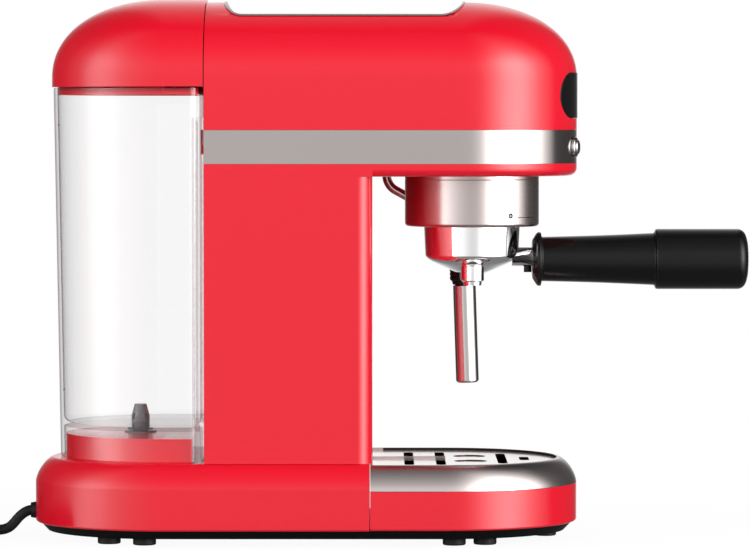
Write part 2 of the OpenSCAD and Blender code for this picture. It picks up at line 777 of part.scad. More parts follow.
// Board behind the display, on two legs that stand on the head pan
module control_board() color([0.10, 0.35, 0.20]) {
    w = display_w * 0.75;
    board_y = head_y - sqrt(pow(inner_r, 2) - pow(w / 2, 2)) + 4;
    translate([-w / 2, board_y, cover_z + 4]) cube([w, 1.6, display_h + 4]);
    for (s = [-1, 1]) {
        translate([s * 12 - 3, board_y + 1, cover_z + 14]) cube([6, 5.6, 8]);
        translate([s * (w / 2 - 2.5) - 2.5, board_y + 1, pan_z + wall]) cube([5, 3.6, band_h + pan_h + 6]);
    }
}

module button_bezels() color(chrome) for (s = [-1, 1]) at_button(s) difference() {
    union() {
        translate([0, 0, body_r + 0.05]) cylinder(d1 = bezel_d, d2 = bezel_d - 0.8, h = bezel_proud);
        translate([0, 0, frame_r - 2]) cylinder(d = barrel_d, h = band_seat_t + band_t + 3);
    }
    translate([0, 0, frame_r - 3]) cylinder(d = cap_d + 2 * seat_gap * 2, h = 20);
}

module button_cap(s) color(chrome) at_button(s) {
    translate([0, 0, body_r - 2]) cylinder(d = cap_d, h = 2 + bezel_proud + cap_proud - 0.8);
    translate([0, 0, body_r + bezel_proud + cap_proud - 0.8]) cylinder(d1 = cap_d, d2 = cap_d - 1.6, h = 0.8);
    translate([0, 0, frame_r - 3]) cylinder(d = cap_d - 3, h = body_r - 2 - frame_r + 3);
}

module coffee_button() button_cap(-1);
module steam_button() button_cap(1);

module button_switches() color(black) for (s = [-1, 1]) at_button(s) {
    translate([-5, -4, frame_r - 3 - button_travel - slide_gap - 6]) cube([10, 8, 6]);
    translate([-5, -button_z + pan_z + wall, frame_r - 3 - button_travel - slide_gap - 6])
        cube([10, button_z - pan_z - wall - 4, 3]);
}

// ---- Group and portafilter ----

module group_housing() color(steel) translate([0, group_y, 0]) rotate_extrude() {
    r = 2;
    polygon(concat([[group_r - group_skin_t, pan_z], [group_r, pan_z], [group_r, pan_z - 3.4],
        [group_r - 0.3, pan_z - 3.6], [group_r - 0.3, pan_z - 4.0], [group_r, pan_z - 4.2]],
        arc(group_r - r, group_z + r, r, 0, -90),
        [[casting_r - 3, group_z], [casting_r - 3, lip_z - seat_gap],
        [group_r - group_skin_t, lip_z - seat_gap]]));
}

// Sector of a ring, centred on angle a
module ring_sector(r0, r1, span, a, z, h) {
    translate([0, 0, z]) rotate(a - span / 2) rotate_extrude(angle = span)
        polygon([[r0, 0], [r1, 0], [r1, h], [r0, h]]);
}

module group_head() color(alloy) translate([0, group_y, 0]) difference() {
    rotate_extrude() polygon([[0, group_ceiling], [throat_r, group_ceiling], [throat_r, groove_top],
        [groove_r, groove_top], [groove_r, lip_z + lip_h], [throat_r, lip_z + lip_h], [throat_r, lip_z],
        [casting_r, lip_z], [casting_r, pan_z], [neck_r, pan_z], [neck_r, pan_z + wall], [0, pan_z + wall]]);
    // slots that let the lugs in at the open mark
    for (a = [0, 180])
        ring_sector(throat_r - 1, groove_r, lug_angle + 6, a - lock_turn, lip_z - eps, lip_h + 2 * eps);
    translate([0, 0, group_ceiling - eps]) cylinder(d = 5, h = pan_z + wall - group_ceiling + 2 * eps);
}

module group_gasket() color(rubber) translate([0, group_y, 0]) difference() {
    translate([0, 0, gasket_z]) cylinder(r = throat_r - seat_gap, h = gasket_t);
    translate([0, 0, gasket_z - eps]) cylinder(r = basket_r + basket_t, h = gasket_t + 2 * eps);
}

module shower_screen() color(chrome) translate([0, group_y, 0]) {
    r = basket_r + basket_t - seat_gap;
    difference() {
        translate([0, 0, gasket_z + 1]) cylinder(r = r, h = gasket_t - 1);
        translate([0, 0, gasket_z + 2]) cylinder(r = r - 1, h = gasket_t);
        translate([0, 0, gasket_z]) cylinder(d = 5.4, h = 3);
        for (i = [0 : 11], k = [0.45, 0.75]) rotate(30 * i) translate([k * r, 0, gasket_z])
            cylinder(d = 2, h = 3);
    }
}

module shower_screw() color(chrome) translate([0, group_y, gasket_z]) {
    difference() {
        cylinder(d = 9, h = 1);
        translate([-3, -0.5, -eps]) cube([6, 1, 0.5 + eps]);
    }
    cylinder(d = 4.8, h = gasket_t + 6);
}

// Outside of the bowl's dished bottom, set down by t
function bowl_dish(t) = [[bowl_boss_r, bowl_boss_z], [bowl_boss_r + 4, bowl_boss_z + 1.4 - t],
    [bowl_low_r - 4, bowl_edge_z - 2.6 - t]];

module portafilter_bowl() color(chrome) {
    translate([0, group_y, 0]) difference() {
        union() {
            rotate_extrude() polygon(concat([[0, bowl_boss_z]], bowl_dish(0),
                [[bowl_low_r - 0.8, bowl_edge_z - 0.6], [bowl_low_r, bowl_edge_z], [bowl_r, bowl_top],
                [0, bowl_top]]));
            // lugs at both sides of the handle
            for (a = [0, 180]) ring_sector(bowl_r - 2, lug_r, lug_angle, a, lug_z, lug_h);
        }
        translate([0, 0, bowl_edge_z + 1.5]) cylinder(r1 = bowl_in_r - 1, r2 = bowl_in_r, h = 1);
        translate([0, 0, bowl_edge_z + 2.5 - 0.01]) cylinder(r = bowl_in_r, h = bowl_side_h);
        translate([0, 0, bowl_edge_z - 4]) cylinder(r1 = 3, r2 = bowl_in_r - 1, h = 5.51);
        translate([0, 0, bowl_boss_z - eps]) cylinder(d = spout_bore_d, h = 12);
    }
    // neck that widens sideways into the bowl, and the stud inside the handle
    neck_y = group_y - bowl_low_r + 4;
    difference() {
        union() {
            translate([0, 0, handle_z - neck_d / 2 + neck_rise]) linear_extrude(neck_d)
                polygon([[-neck_w / 2, neck_y], [neck_w / 2, neck_y], [neck_d / 2, handle_y],
                    [-neck_d / 2, handle_y]]);
            turned_forward([[0, 0], [stud_d / 2, 0], [stud_d / 2, stud_len], [0, stud_len]],
                handle_y + eps, handle_z);
        }
        translate([0, group_y, bowl_edge_z + 1]) cylinder(r = bowl_low_r - bowl_wall / 2, h = bowl_side_h);
        at_handle_screw() {
            translate([0, 0, -neck_d]) cylinder(d = screw_d + 2 * seat_gap, h = neck_d - 3);
            translate([0, 0, -neck_d / 2]) cylinder(d = 2.6 + 2 * seat_gap, h = neck_d / 2);
        }
    }
}

module filter_basket() color(steel) translate([0, group_y, 0]) rotate_extrude() {
    b = basket_rim_z - basket_depth;
    polygon([[0, b], [basket_r - 1.5, b], [basket_r, b + 1.5], [basket_r + basket_t - 0.1, bowl_top],
        [bowl_r - 0.6, bowl_top], [bowl_r - 0.6, basket_rim_z], [basket_r, basket_rim_z],
        [basket_r - basket_t, basket_rim_z - 1], [basket_r - basket_t, b + 1.8],
        [basket_r - 1.8, b + basket_t], [0, b + basket_t]]);
}

module twin_spout() color(chrome) translate([0, group_y, 0]) difference() {
    union() {
        translate([0, 0, outlet_z]) cylinder(r = bowl_boss_r - 1, h = bowl_boss_z - outlet_z);
        bar_x(7, -spout_pitch / 2, spout_pitch / 2, 0, outlet_z + 2.6);
        for (s = [-1, 1]) translate([s * spout_pitch / 2, 0, outlet_z]) rotate_extrude()
            polygon([[0, -2.1], [spout_d / 2 - 1.6, -2.1], [spout_d / 2 - 1.2, 0], [spout_d / 2, 0.6],
                [spout_d / 2, spout_h - 1.6], [spout_d / 2 - 1.6, spout_h], [0, spout_h]]);
    }
    // room for the dished bottom of the bowl
    rotate_extrude() polygon(concat([[0, bowl_boss_z]], bowl_dish(2 * seat_gap),
        [[bowl_low_r + 9, bowl_edge_z + 3], [0, bowl_edge_z + 3]]));
    for (s = [-1, 1]) translate([s * spout_pitch / 2, 0, outlet_z - 3]) cylinder(d = spout_bore_d, h = 6);
    bar_x(spout_bore_d - 1, -spout_pitch / 2, spout_pitch / 2, 0, outlet_z + 2.6);
    translate([0, 0, outlet_z + 2.6]) cylinder(d = spout_bore_d, h = 10);
}

module handle_grip() color(black) difference() {
    end = handle_len - knob_end_len;
    turned_forward(concat([[0, 0], [flange_d / 2 - 4.5, 0], [flange_d / 2 - 1, 2.4], [flange_d / 2, 3.4],
        [flange_d / 2, 4.6], [flange_d / 2 - 0.6, 5.2], [grip_d / 2, 5.4], [grip_end_d / 2, end - 0.8],
        [knob_end_d / 2 - 0.6, end], [knob_end_d / 2, end + 0.8], [knob_end_d / 2, handle_len - 6]],
        arc(knob_end_d / 2 - 5, handle_len - 6, 5, 0, 70), [[0, handle_len]]), handle_y, handle_z);
    translate([0, handle_y + eps, handle_z]) rotate([90, 0, 0])
        cylinder(d = stud_d + 2 * seat_gap, h = stud_len + eps);
}

module at_handle_screw() {
    translate([0, handle_y + screw_d / 2 + 0.3, handle_z]) children();
}

module handle_screw() color(black) at_handle_screw() {
    translate([0, 0, -neck_d / 2 - 2]) cylinder(d = screw_d, h = neck_d / 2 - 1);
    translate([0, 0, -3.5]) cylinder(d = 2.6, h = 3);
}

// ---- Steam wand ----

module wand_socket() color(black) translate([wand_x, swivel_y, pan_z - gland_h]) difference() {
    cylinder(d1 = swivel_d + 3, d2 = swivel_d + 5, h = gland_h);
    translate([0, 0, -eps]) cylinder(d = swivel_d + 2 * shaft_gap, h = gland_h + 2 * eps);
}

// Plane of the steam wand: local X runs forward, local Y up
module wand_plane() {
    translate([wand_x, 0, 0]) rotate([90, 0, -90]) children();
}

function heading(a) = [sin(a), -cos(a)]; // unit vector that leans forward by a from straight down

// Steam tube: swivel pin, slanted run with a bend at each end, and the leaning lower end
module wand_tube() color(chrome) {
    mouth = [wand_reach + wand_offset, sleeve_z];
    low = mouth - wand_run * heading(wand_lean);
    start = [wand_reach, pan_z - gland_h + eps]; // of the upper bend, inside the pin
    slant = slant_angle(start, low);
    k0 = bend_r * tan(slant / 2);
    k1 = bend_r * tan((slant - wand_lean) / 2);
    top = start - [0, k0];
    low_center = low - k1 * heading(slant) - bend_r * [cos(slant), sin(slant)];
    // the bends are a hair thicker than the straight runs that end inside them
    wand_plane() {
        translate(start + [bend_r, 0]) rotate(180)
            rotate_extrude(angle = slant) translate([bend_r, 0]) circle(d = wand_d + seat_gap);
        translate(top + (k0 - eps) * heading(slant)) rotate(slant) rotate([90, 0, 0])
            cylinder(d = wand_d, h = norm(low - top) - k0 - k1 + 2 * eps);
        translate(low_center) rotate(wand_lean)
            rotate_extrude(angle = slant - wand_lean) translate([bend_r, 0]) circle(d = wand_d + seat_gap);
        translate(low + (k1 - eps) * heading(wand_lean)) rotate(wand_lean) rotate([90, 0, 0])
            cylinder(d = wand_d, h = wand_run + sleeve_len - 6 - k1 + eps);
    }
    // swivel pin up through the socket and the head pan, with a ring that keeps it there
    translate([wand_x, swivel_y, 0]) {
        translate([0, 0, pan_z - gland_h]) cylinder(d = swivel_d, h = gland_h + wall + 1.5);
        translate([0, 0, pan_z + wall + slide_gap]) cylinder(d = swivel_d + 3, h = 1.5);
    }
}

// Slant of the run whose corner lies under the start of the upper bend, by fixed-point steps
function slant_angle(start, low, a = 60, n = 6) = n == 0 ? a :
    slant_angle(start, low, atan2(low[0] - start[0], start[1] - bend_r * tan(a / 2) - low[1]), n - 1);

// Frame whose origin is at the top of the frother sleeve and whose -Z runs down the wand
module at_sleeve() {
    translate([wand_x, sleeve_y, sleeve_z]) rotate([-wand_lean, 0, 0]) children();
}

// Black grip above the sleeve, with the core that the sleeve pushes over
module wand_collar() color(rubber) at_sleeve() {
    core_r = sleeve_d / 2 - sleeve_wall - slide_gap;
    rotate_extrude() polygon([[wand_d / 2, 14 - sleeve_len], [core_r, 14 - sleeve_len], [core_r, 0.4],
        [sleeve_d / 2, 0.4], [sleeve_d / 2 + 0.6, 2.6], [collar_d / 2 - 0.5, 2.9], [collar_d / 2, 3.6],
        [collar_d / 2, collar_h], [collar_d / 2 - 1, collar_h + 1.4], [wand_d / 2, collar_h + 2]]);
}

module frother_sleeve() color(chrome) at_sleeve() difference() {
    rotate_extrude() polygon([[sleeve_d / 2 - sleeve_wall, 0], [sleeve_d / 2 - 0.4, 0], [sleeve_d / 2, -0.4],
        [sleeve_d / 2, -sleeve_len + 0.8], [sleeve_d / 2 - 0.8, -sleeve_len], [2.5, -sleeve_len],
        [2.5, -sleeve_len + 2], [sleeve_d / 2 - sleeve_wall, -sleeve_len + 3]]);
    // air slot low on the sleeve
    translate([-0.8, -sleeve_d, -sleeve_len + 20]) cube([1.6, sleeve_d, 5]);
}

module steam_valve() color(brass) {
    z0 = pan_z + wall;
    difference() {
        union() {
            translate([wand_x, swivel_y, z0]) cylinder(d = steam_valve_d, h = knob_z - z0);
            bar_x(16, wand_x - 12, inner_r - 2.5, swivel_y, knob_z);
        }
        translate([wand_x, swivel_y, z0 - eps]) cylinder(d = swivel_d + 4, h = 4 + eps);
        bar_x(spindle_d + 2 * shaft_gap, wand_x - 2, inner_r, swivel_y, knob_z);
    }
}

module valve_spindle() color(brass) {
    bar_x(spindle_d, wand_x - 1.5, body_r + 6, swivel_y, knob_z);
}

module steam_knob() color(black) translate([body_r + 0.8, swivel_y, knob_z]) rotate([0, 90, 0]) difference() {
    r = steam_knob_d / 2;
    rotate_extrude() polygon([[0, 0], [r - 1, 0], [r, 1], [r - 1, steam_knob_h - 2], [r - 3, steam_knob_h],
        [0, steam_knob_h]]);
    translate([0, 0, -eps]) cylinder(d = spindle_d, h = 5.2 + eps);
    for (i = [0 : 11]) rotate(30 * i) translate([r + 0.6, 0, 3]) cylinder(d = 3.2, h = steam_knob_h);
}

// ---- Water tank ----

function tank_profile(t, z0, z1) = let (k = tank_draft / (tank_top - tank_bottom))
    [[0, z0], [tank_r0 - t + k * (z0 - tank_bottom), z0], [tank_r0 - t + k * (z1 - tank_bottom), z1],
    [0, z1]];

module water_tank() color(clear) {
    difference() {
        round_rear(tank_profile(0, tank_bottom, tank_top), tank_y, lid_y);
        // water space
        difference() {
            round_rear(tank_profile(tank_wall, tank_floor, tank_top + eps), tank_y + tank_wall, lid_y);
            translate([-channel_w / 2 - tank_wall, tank_y - eps, tank_floor - eps])
                cube([channel_w + 2 * tank_wall, channel_depth + tank_wall + eps,
                    channel_top + tank_wall - tank_floor + eps]);
        }
        // space under the floor, over the pedestal
        round_rear(tank_profile(tank_wall, tank_bottom - eps, tank_floor - tank_wall),
            tank_y + tank_wall, lid_y);
        // channel for the hook, with a bar left across its upper end
        difference() {
            translate([-channel_w / 2, tank_y - eps, tank_bottom - eps])
                cube([channel_w, channel_depth + eps, channel_top - tank_bottom + eps]);
            translate([-channel_w / 2 - eps, tank_y - eps, hook_z + 4.5 + slide_gap])
                cube([channel_w + 2 * eps, hook_bar + eps, 4]);
        }
        translate([0, valve_reach, tank_floor - tank_wall - eps])
            cylinder(d = valve_d + 2 * seat_gap, h = tank_wall + 2 * eps);
    }
}

module valve_body() color(grey) translate([0, valve_reach, 0]) difference() {
    r = valve_d / 2;
    rotate_extrude() polygon([[0, valve_z], [r - 0.6, valve_z], [r, valve_z + 1.5], [r, valve_flange_z],
        [valve_flange_d / 2, valve_flange_z], [valve_flange_d / 2, tank_floor - tank_wall],
        [r, tank_floor - tank_wall], [r, tank_floor], [valve_cap_d / 2, tank_floor],
        [valve_cap_d / 2, tank_floor + 3], [valve_cap_d / 2 - 1.8, valve_cap_top], [0, valve_cap_top]]);
    translate([0, 0, valve_z - eps])
        cylinder(d = plunger_d + 2 * slide_gap, h = tank_floor - valve_z + 2 * eps);
    translate([0, 0, tank_floor - 1]) cylinder(d = valve_d - 2.4, h = valve_cap_top - tank_floor);
    // side ports that let the water in
    for (a = [45, 135]) rotate(a) translate([-valve_cap_d, -0.8, tank_floor + 1])
        cube([2 * valve_cap_d, 1.6, 3.5]);
}

// Disc that closes the valve when the tank is off, held up by its stem on the inlet's floor
module valve_plunger() color(grey) translate([0, valve_reach, 0]) {
    translate([0, 0, plunger_z]) cylinder(d = plunger_d, h = tank_floor - plunger_z);
    translate([0, 0, tank_floor - slide_gap]) cylinder(d = valve_d - 3.2, h = 1.2);
}

module valve_spring() color(steel) translate([0, valve_reach, 0]) {
    wire = 0.8;
    turns = 3;
    z0 = tank_floor - slide_gap + 1.2;
    pitch = (valve_cap_top - 1 - z0 - valve_lift - slide_gap) / turns;
    for (i = [0 : turns - 1]) translate([0, 0, z0 + wire / 2 + i * pitch]) rotate_extrude()
        translate([(valve_d - 3.2) / 2 - wire, 0]) circle(d = wire);
    // the rise from each turn to the next
    for (i = [0 : turns - 2]) translate([(valve_d - 3.2) / 2 - wire, 0, z0 + wire / 2 + i * pitch])
        cylinder(d = wire * 0.8, h = pitch);
}

module tank_lid() color(red) {
    q = tank_profile(tank_wall + slide_gap, tank_top - lid_plug_h, tank_top);
    difference() {
        union() {
            round_rear(concat([[0, lid_z], [body_r, lid_z]],
                dome_points(body_r, lid_dome_z, lid_dome_h, dome_power)), seam_y + tank_gap, lid_y);
            round_rear([q[0], q[1], [q[2][0], lid_z + eps], [0, lid_z + eps]],
                tank_y + tank_wall + slide_gap, lid_y);
        }
        round_rear([[0, tank_top - lid_plug_h - eps], [q[1][0] - wall, tank_top - lid_plug_h - eps],
            [q[1][0] - wall, lid_dome_z], [0, lid_dome_z]], tank_y + tank_wall + slide_gap + wall, lid_y);
        round_rear(concat([[0, lid_z + wall], [q[1][0] - wall, lid_z + wall]],
            dome_points(q[1][0] - wall, lid_dome_z, lid_dome_h - wall, dome_power)),
            seam_y + tank_gap + tank_wall + slide_gap + wall, lid_y);
    }
}

module tank_inlet() color(grey) translate([0, valve_reach, 0]) {
    well = valve_flange_d + 2 - 2 * seat_gap;
    difference() {
        union() {
            translate([0, 0, valve_z - 4]) cylinder(d = well, h = pedestal_top - valve_z + 4);
            translate([0, 0, valve_z - inlet_tail_l]) cylinder(d = hose_d - 2, h = inlet_tail_l - 4 + eps);
            translate([0, 0, pedestal_top]) cylinder(d = well + 2, h = 0.6);
        }
        translate([0, 0, valve_z - slide_gap])
            cylinder(d = valve_d + 2 * inlet_gap, h = pedestal_top - valve_z + 2);
        translate([0, 0, valve_z - inlet_tail_l - 1]) cylinder(d = 3, h = inlet_tail_l + 1);
        // groove that lets the water past the stem
        translate([-valve_d / 2, -0.6, valve_z - slide_gap - 1.2]) cube([valve_d, 1.2, 2]);
    }
}

// ---- Inside ----

module thermoblock() color(alloy) translate([0, group_y, pan_z + wall]) {
    difference() {
        union() {
            cylinder(d = thermoblock_d, h = thermoblock_h * 0.55);
            cylinder(r = block_r, h = thermoblock_h);
        }
        for (i = [0 : 2]) translate([0, 0, 5 + 5 * i]) difference() {
            cylinder(d = thermoblock_d + 2, h = 2);
            translate([0, 0, -eps]) cylinder(d = thermoblock_d - 6, h = 2 + 2 * eps);
        }
    }
    translate([0, 0, thermoblock_h]) cylinder(d = 12, h = 5);
    // nipple of the steam pipe
    translate([block_r - 1, 0, thermoblock_h * 0.8]) rotate([0, 90, 0]) cylinder(d = 8, h = nipple_l + 1);
}

module pump() color(black) translate([0, pump_y, pump_z]) {
    neck = pump_d / 4;
    r = pump_d / 2;
    rotate_extrude() polygon([[0, 0], [3, 0], [3, 10], [neck, 10], [neck, 26], [r - 2, 26], [r, 28],
        [r, pump_len - 32], [r - 2, pump_len - 30], [neck, pump_len - 30], [neck, pump_len - 12],
        [3, pump_len - 12], [3, pump_len], [0, pump_len]]);
}

// Bracket over the base's passage, with a shelf that carries the pump by its coil
module pump_bracket() color(steel) translate([0, pump_y, 0]) {
    t = 2; // of the sheet
    half_w = pump_d * 0.95;
    half_d = pump_d * 0.41;
    shelf_z = pump_z + pump_len * 0.218;
    difference() {
        translate([-half_w, -2 * half_d, base_top]) cube([2 * half_w, 4.1 * half_d, t]);
        translate([0, 0, base_top - eps]) cylinder(d = hose_d + 5, h = t + 2 * eps);
        translate([half_d - t, -half_w + 12, base_top - eps]) cube([half_d - 4, half_w - 18, t + 2 * eps]);
    }
    for (s = [-1, 1]) translate([s * (half_w - t) - t / 2, -half_d, base_top])
        cube([t, 2 * half_d, shelf_z + t - base_top]);
    difference() {
        translate([-half_w + t, -half_d, shelf_z]) cube([2 * (half_w - t), 2 * half_d, t]);
        translate([0, 0, shelf_z - eps]) cylinder(d = pump_d / 2 + 2 * seat_gap, h = t + 2 * eps);
    }
}

module suction_hose() color(silicone) {
    z = valve_z - inlet_tail_l;
    d = hose_d;
    tube_along([[0, valve_reach, z], [0, valve_reach, z - 0.6 * d], [0, valve_reach - 0.9 * d, z - 1.6 * d],
        [0, valve_reach - 4.3 * d, z - 2.1 * d], [0, pump_y + 4.3 * d, z - 1.9 * d],
        [0, pump_y + d, z - 0.6 * d], [0, pump_y, z + 0.9 * d], [0, pump_y, pump_z]], d, 4, 8);
}

module pressure_hose() color(silicone) {
    z0 = pump_z + pump_len;
    z1 = pan_z + wall + thermoblock_h + 5;
    tube_along([[0, pump_y, z0], [0, pump_y, z0 + 8], [0, pump_y - 8, z0 + 40],
        [0, pump_y - 30, z1 + 4], [0, group_y + 26, z1 + 14], [0, group_y + 5, z1 + 14],
        [0, group_y, z1 + 7], [0, group_y, z1 + 3.5], [0, group_y, z1 + 0.05]], hose_d - 1, 4, 8);
}

module steam_pipe() color(steel) {
    x0 = block_r + nipple_l + 0.05;
    z = pan_z + wall + thermoblock_h * 0.8;
    tube_along([[x0, group_y, z], [x0 + 2, group_y, z], [x0 + 4, group_y, z], [x0 + 7, group_y + 8, z],
        [wand_x - 9, swivel_y - 18, knob_z], [wand_x - 9, swivel_y - 8, knob_z]], 4, 4, 8, [0, 0, 1]);
}

// ---- Cord ----

module power_cord() color(black) tube_along(cord_points, cord_d, 2, 8);

module cord_tail() color(black) tube_along(tail_points, cord_d, 2, 8);

module cord_coil() color(black) translate([coil_center[0], coil_center[1], 0]) rotate_extrude() {
    r = cord_d / 2;
    polygon(concat(arc(coil_r - 2 * r, r, r, 180, 270, 4), arc(coil_r + 2 * r, r, r, 270, 360, 4),
        arc(coil_r + 2 * r, 3 * r, r, 0, 90, 4), arc(coil_r - 2 * r, 3 * r, r, 90, 180, 4)));
}

// Two-pin plug that lies beside the coil, with its strain relief
module plug() color(black) translate(tail_points[len(tail_points) - 1]) rotate(plug_turn) {
    relief = 24;
    body = 32;
    rotate([0, 90, 0]) cylinder(d1 = cord_d + 1.6, d2 = 11, h = relief + 1);
    translate([relief, 0, 0]) rotate([0, 90, 0]) rotate(90) linear_extrude(body) {
        square([16, 18], center = true);
        for (s = [-1, 1]) translate([8 * s, 0]) circle(d = 18);
    }
    for (s = [-1, 1]) translate([relief + body - 1, 9.5 * s, 0]) rotate([0, 90, 0]) {
        cylinder(d = 4.8, h = 19);
        translate([0, 0, 19]) cylinder(d1 = 4.8, d2 = 3, h = 1);
    }
}

base_housing();
bottom_plate();
rubber_feet();
housing_screws();
cord_gland();
drip_tray();
tray_surround();
drip_grille();
body_housing();
rear_panel();
steel_band();
head_cover();
cup_plate();
display_panel();
control_board();
button_bezels();
button_switches();
coffee_button();
steam_button();
group_housing();
group_head();
group_gasket();
shower_screen();
shower_screw();
portafilter_bowl();
filter_basket();
twin_spout();
handle_grip();
handle_screw();
wand_socket();
wand_tube();
wand_collar();
frother_sleeve();
steam_valve();
valve_spindle();
steam_knob();
water_tank();
valve_body();
valve_plunger();
valve_spring();
tank_lid();
tank_inlet();
thermoblock();
pump();
pump_bracket();
suction_hose();
pressure_hose();
steam_pipe();
power_cord();
cord_coil();
cord_tail();
plug();
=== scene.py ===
import bpy
import bmesh
from math import atan2, cos, pi, radians, sin, sqrt, tan
from mathutils import Matrix, Vector


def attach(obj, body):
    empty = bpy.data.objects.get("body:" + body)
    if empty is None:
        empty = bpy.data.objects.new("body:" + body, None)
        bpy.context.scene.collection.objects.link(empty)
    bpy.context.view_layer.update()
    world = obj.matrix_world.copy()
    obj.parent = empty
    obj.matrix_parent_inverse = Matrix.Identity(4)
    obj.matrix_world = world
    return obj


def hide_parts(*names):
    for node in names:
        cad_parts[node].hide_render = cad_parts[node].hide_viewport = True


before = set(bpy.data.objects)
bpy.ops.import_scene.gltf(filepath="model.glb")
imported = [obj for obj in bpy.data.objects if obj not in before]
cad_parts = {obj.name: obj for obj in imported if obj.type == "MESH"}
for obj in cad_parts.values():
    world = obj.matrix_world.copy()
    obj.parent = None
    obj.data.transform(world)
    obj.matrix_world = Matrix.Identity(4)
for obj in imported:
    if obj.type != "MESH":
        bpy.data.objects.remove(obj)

mm = 0.001  # sizes are in millimetres, the front is -y
scene = bpy.context.scene

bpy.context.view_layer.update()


def placed(name, data):
    obj = bpy.data.objects.new(name, data)
    scene.collection.objects.link(obj)
    return obj


cameraSizes = {"place": (-2.480, -0.0395, 0.2383), "tiltDown": 2.044, "lens": 207.8, "sensor": 36}


def placeCamera(s):
    data = bpy.data.cameras.new("leftView")
    data.lens = s["lens"]
    data.sensor_width = s["sensor"]
    data.clip_start, data.clip_end = 0.1, 40
    cam = placed("leftView", data)
    cam.location = s["place"]
    cam.rotation_euler = (radians(90 - s["tiltDown"]), 0, radians(-90))
    scene.camera = cam


placeCamera(cameraSizes)
print("camera placed")

toFront = Matrix.Rotation(radians(90), 4, "X")  # turns local Z to the front
toSide = Matrix.Rotation(radians(90), 4, "Y")  # turns local Z to the right


def at(y, z=0, x=0):
    # most pieces stand in the middle plane, so x comes last
    return Matrix.Translation((x, y, z))


def around(n):
    return [2 * pi * k / n for k in range(n)]


def arc(cx, cy, r, a0, a1, n=10):
    return [(cx + r * cos(radians(a0 + (a1 - a0) * i / n)), cy + r * sin(radians(a0 + (a1 - a0) * i / n)))
            for i in range(n + 1)]


def squaredArc(cx, cz, w, h, power, n):
    # quarter of a squared ellipse, from the side up to the middle
    points = []
    for i in range(n + 1):
        a = pi / 2 * i / n
        points.append((cx + w * (0 if i == n else cos(a)) ** (2 / power), cz + h * sin(a) ** (2 / power)))
    return points


def shoulder(r, z, w, h, n=18):
    # nearly a bevel, with a round lower corner
    return squaredArc(r - w, z - h, w, h, 1.5, n)


def lowEdge(r, z, b, n=6):
    # flat underside with a round edge
    return [(0, z), (r - b, z)] + arc(r - b, z + b, b, -90, 0, n)[1:]


def slotOutline(half, r, n=12):
    return arc(half - r, 0, r, -90, 90, n) + arc(r - half, 0, r, 90, 270, n)


def swelled(v, power):
    return abs(v) ** power * (1 if v >= 0 else -1)


def cleaned(obj, distance=1e-6):
    bm = bmesh.new()
    bm.from_mesh(obj.data)
    bmesh.ops.remove_doubles(bm, verts=bm.verts, dist=distance)
    bmesh.ops.dissolve_degenerate(bm, edges=bm.edges, dist=1e-7)
    bmesh.ops.recalc_face_normals(bm, faces=bm.faces)
    bm.to_mesh(obj.data)
    bm.free()
    return obj


def meshObject(name, points, faces):
    mesh = bpy.data.meshes.new(name)
    mesh.from_pydata([tuple(Vector(p) * mm) for p in points], [], faces)
    return cleaned(placed(name, mesh))


def loft(name, rings, closed=False):
    # rings of equal length, each a closed loop
    n = len(rings[0])
    faces = []
    for j in range(len(rings) if closed else len(rings) - 1):
        k = (j + 1) % len(rings)
        faces += [(j * n + i, j * n + (i + 1) % n, k * n + (i + 1) % n, k * n + i) for i in range(n)]
    if not closed:
        faces += [tuple(range(n)), tuple((len(rings) - 1) * n + i for i in range(n))]
    return meshObject(name, [p for ring in rings for p in ring], faces)


def turned(name, profile, place=Matrix(), steps=96):
    # closed profile of (radius, height), turned about local Z
    return loft(name, [[place @ Vector((r * cos(a), r * sin(a), z)) for r, z in profile] for a in around(steps)],
                closed=True)


def rod(name, r, z0, z1, place, steps):
    return turned(name, [(0, z0), (r, z0), (r, z1), (0, z1)], place, steps)


def stadium(name, profile, endY, cutY, steps=72):
    # closed profile of (radius, height) swept round one end of a long plan with round ends
    turn = 1 if endY > cutY else -1
    near = endY - turn * 2
    stations = [(cutY, 0), (near, 0)] + [(endY, pi * i / steps) for i in range(steps + 1)]
    stations += [(near, pi), (cutY, pi)]
    return loft(name, [[(r * cos(a), y + turn * r * sin(a), z) for r, z in profile] for y, a in stations])


def slab(name, r, z0, z1, endY, cutY):
    return stadium(name, [(0, z0), (r, z0), (r, z1), (0, z1)], endY, cutY)


def extruded(name, outline, low, high, place=Matrix()):
    return loft(name, [[place @ Vector((x, y, z)) for x, y in outline] for z in (low, high)])


def block(name, x0, x1, y0, y1, z0, z1):
    return extruded(name, [(x0, y0), (x1, y0), (x1, y1), (x0, y1)], z0, z1)


def tube(name, path, radius, sides):
    # round tube along points
    rings, side = [], None
    for i, p in enumerate(path):
        ahead = (path[min(i + 1, len(path) - 1)] - path[max(i - 1, 0)]).normalized()
        if side is None:
            side = ahead.orthogonal().normalized()
        side = (side - ahead * side.dot(ahead)).normalized()
        up = ahead.cross(side)
        rings.append([p + radius * (side * cos(a) + up * sin(a)) for a in around(sides)])
    return loft(name, rings)


def settled(obj):
    # applies every modifier
    graph = bpy.context.evaluated_depsgraph_get()
    mesh = bpy.data.meshes.new_from_object(obj.evaluated_get(graph))
    obj.modifiers.clear()
    obj.data = mesh
    return obj


def combined(obj, tool, operation="DIFFERENCE"):
    mod = obj.modifiers.new("cut", "BOOLEAN")
    mod.operation = operation
    mod.solver = "EXACT"
    mod.object = tool
    settled(obj)
    bpy.data.objects.remove(tool)
    return cleaned(obj, 2e-6)


def joined(name, objs):
    bm = bmesh.new()
    for o in objs:
        bm.from_mesh(o.data)
        bpy.data.objects.remove(o)
    mesh = bpy.data.meshes.new(name)
    bm.to_mesh(mesh)
    bm.free()
    return placed(name, mesh)


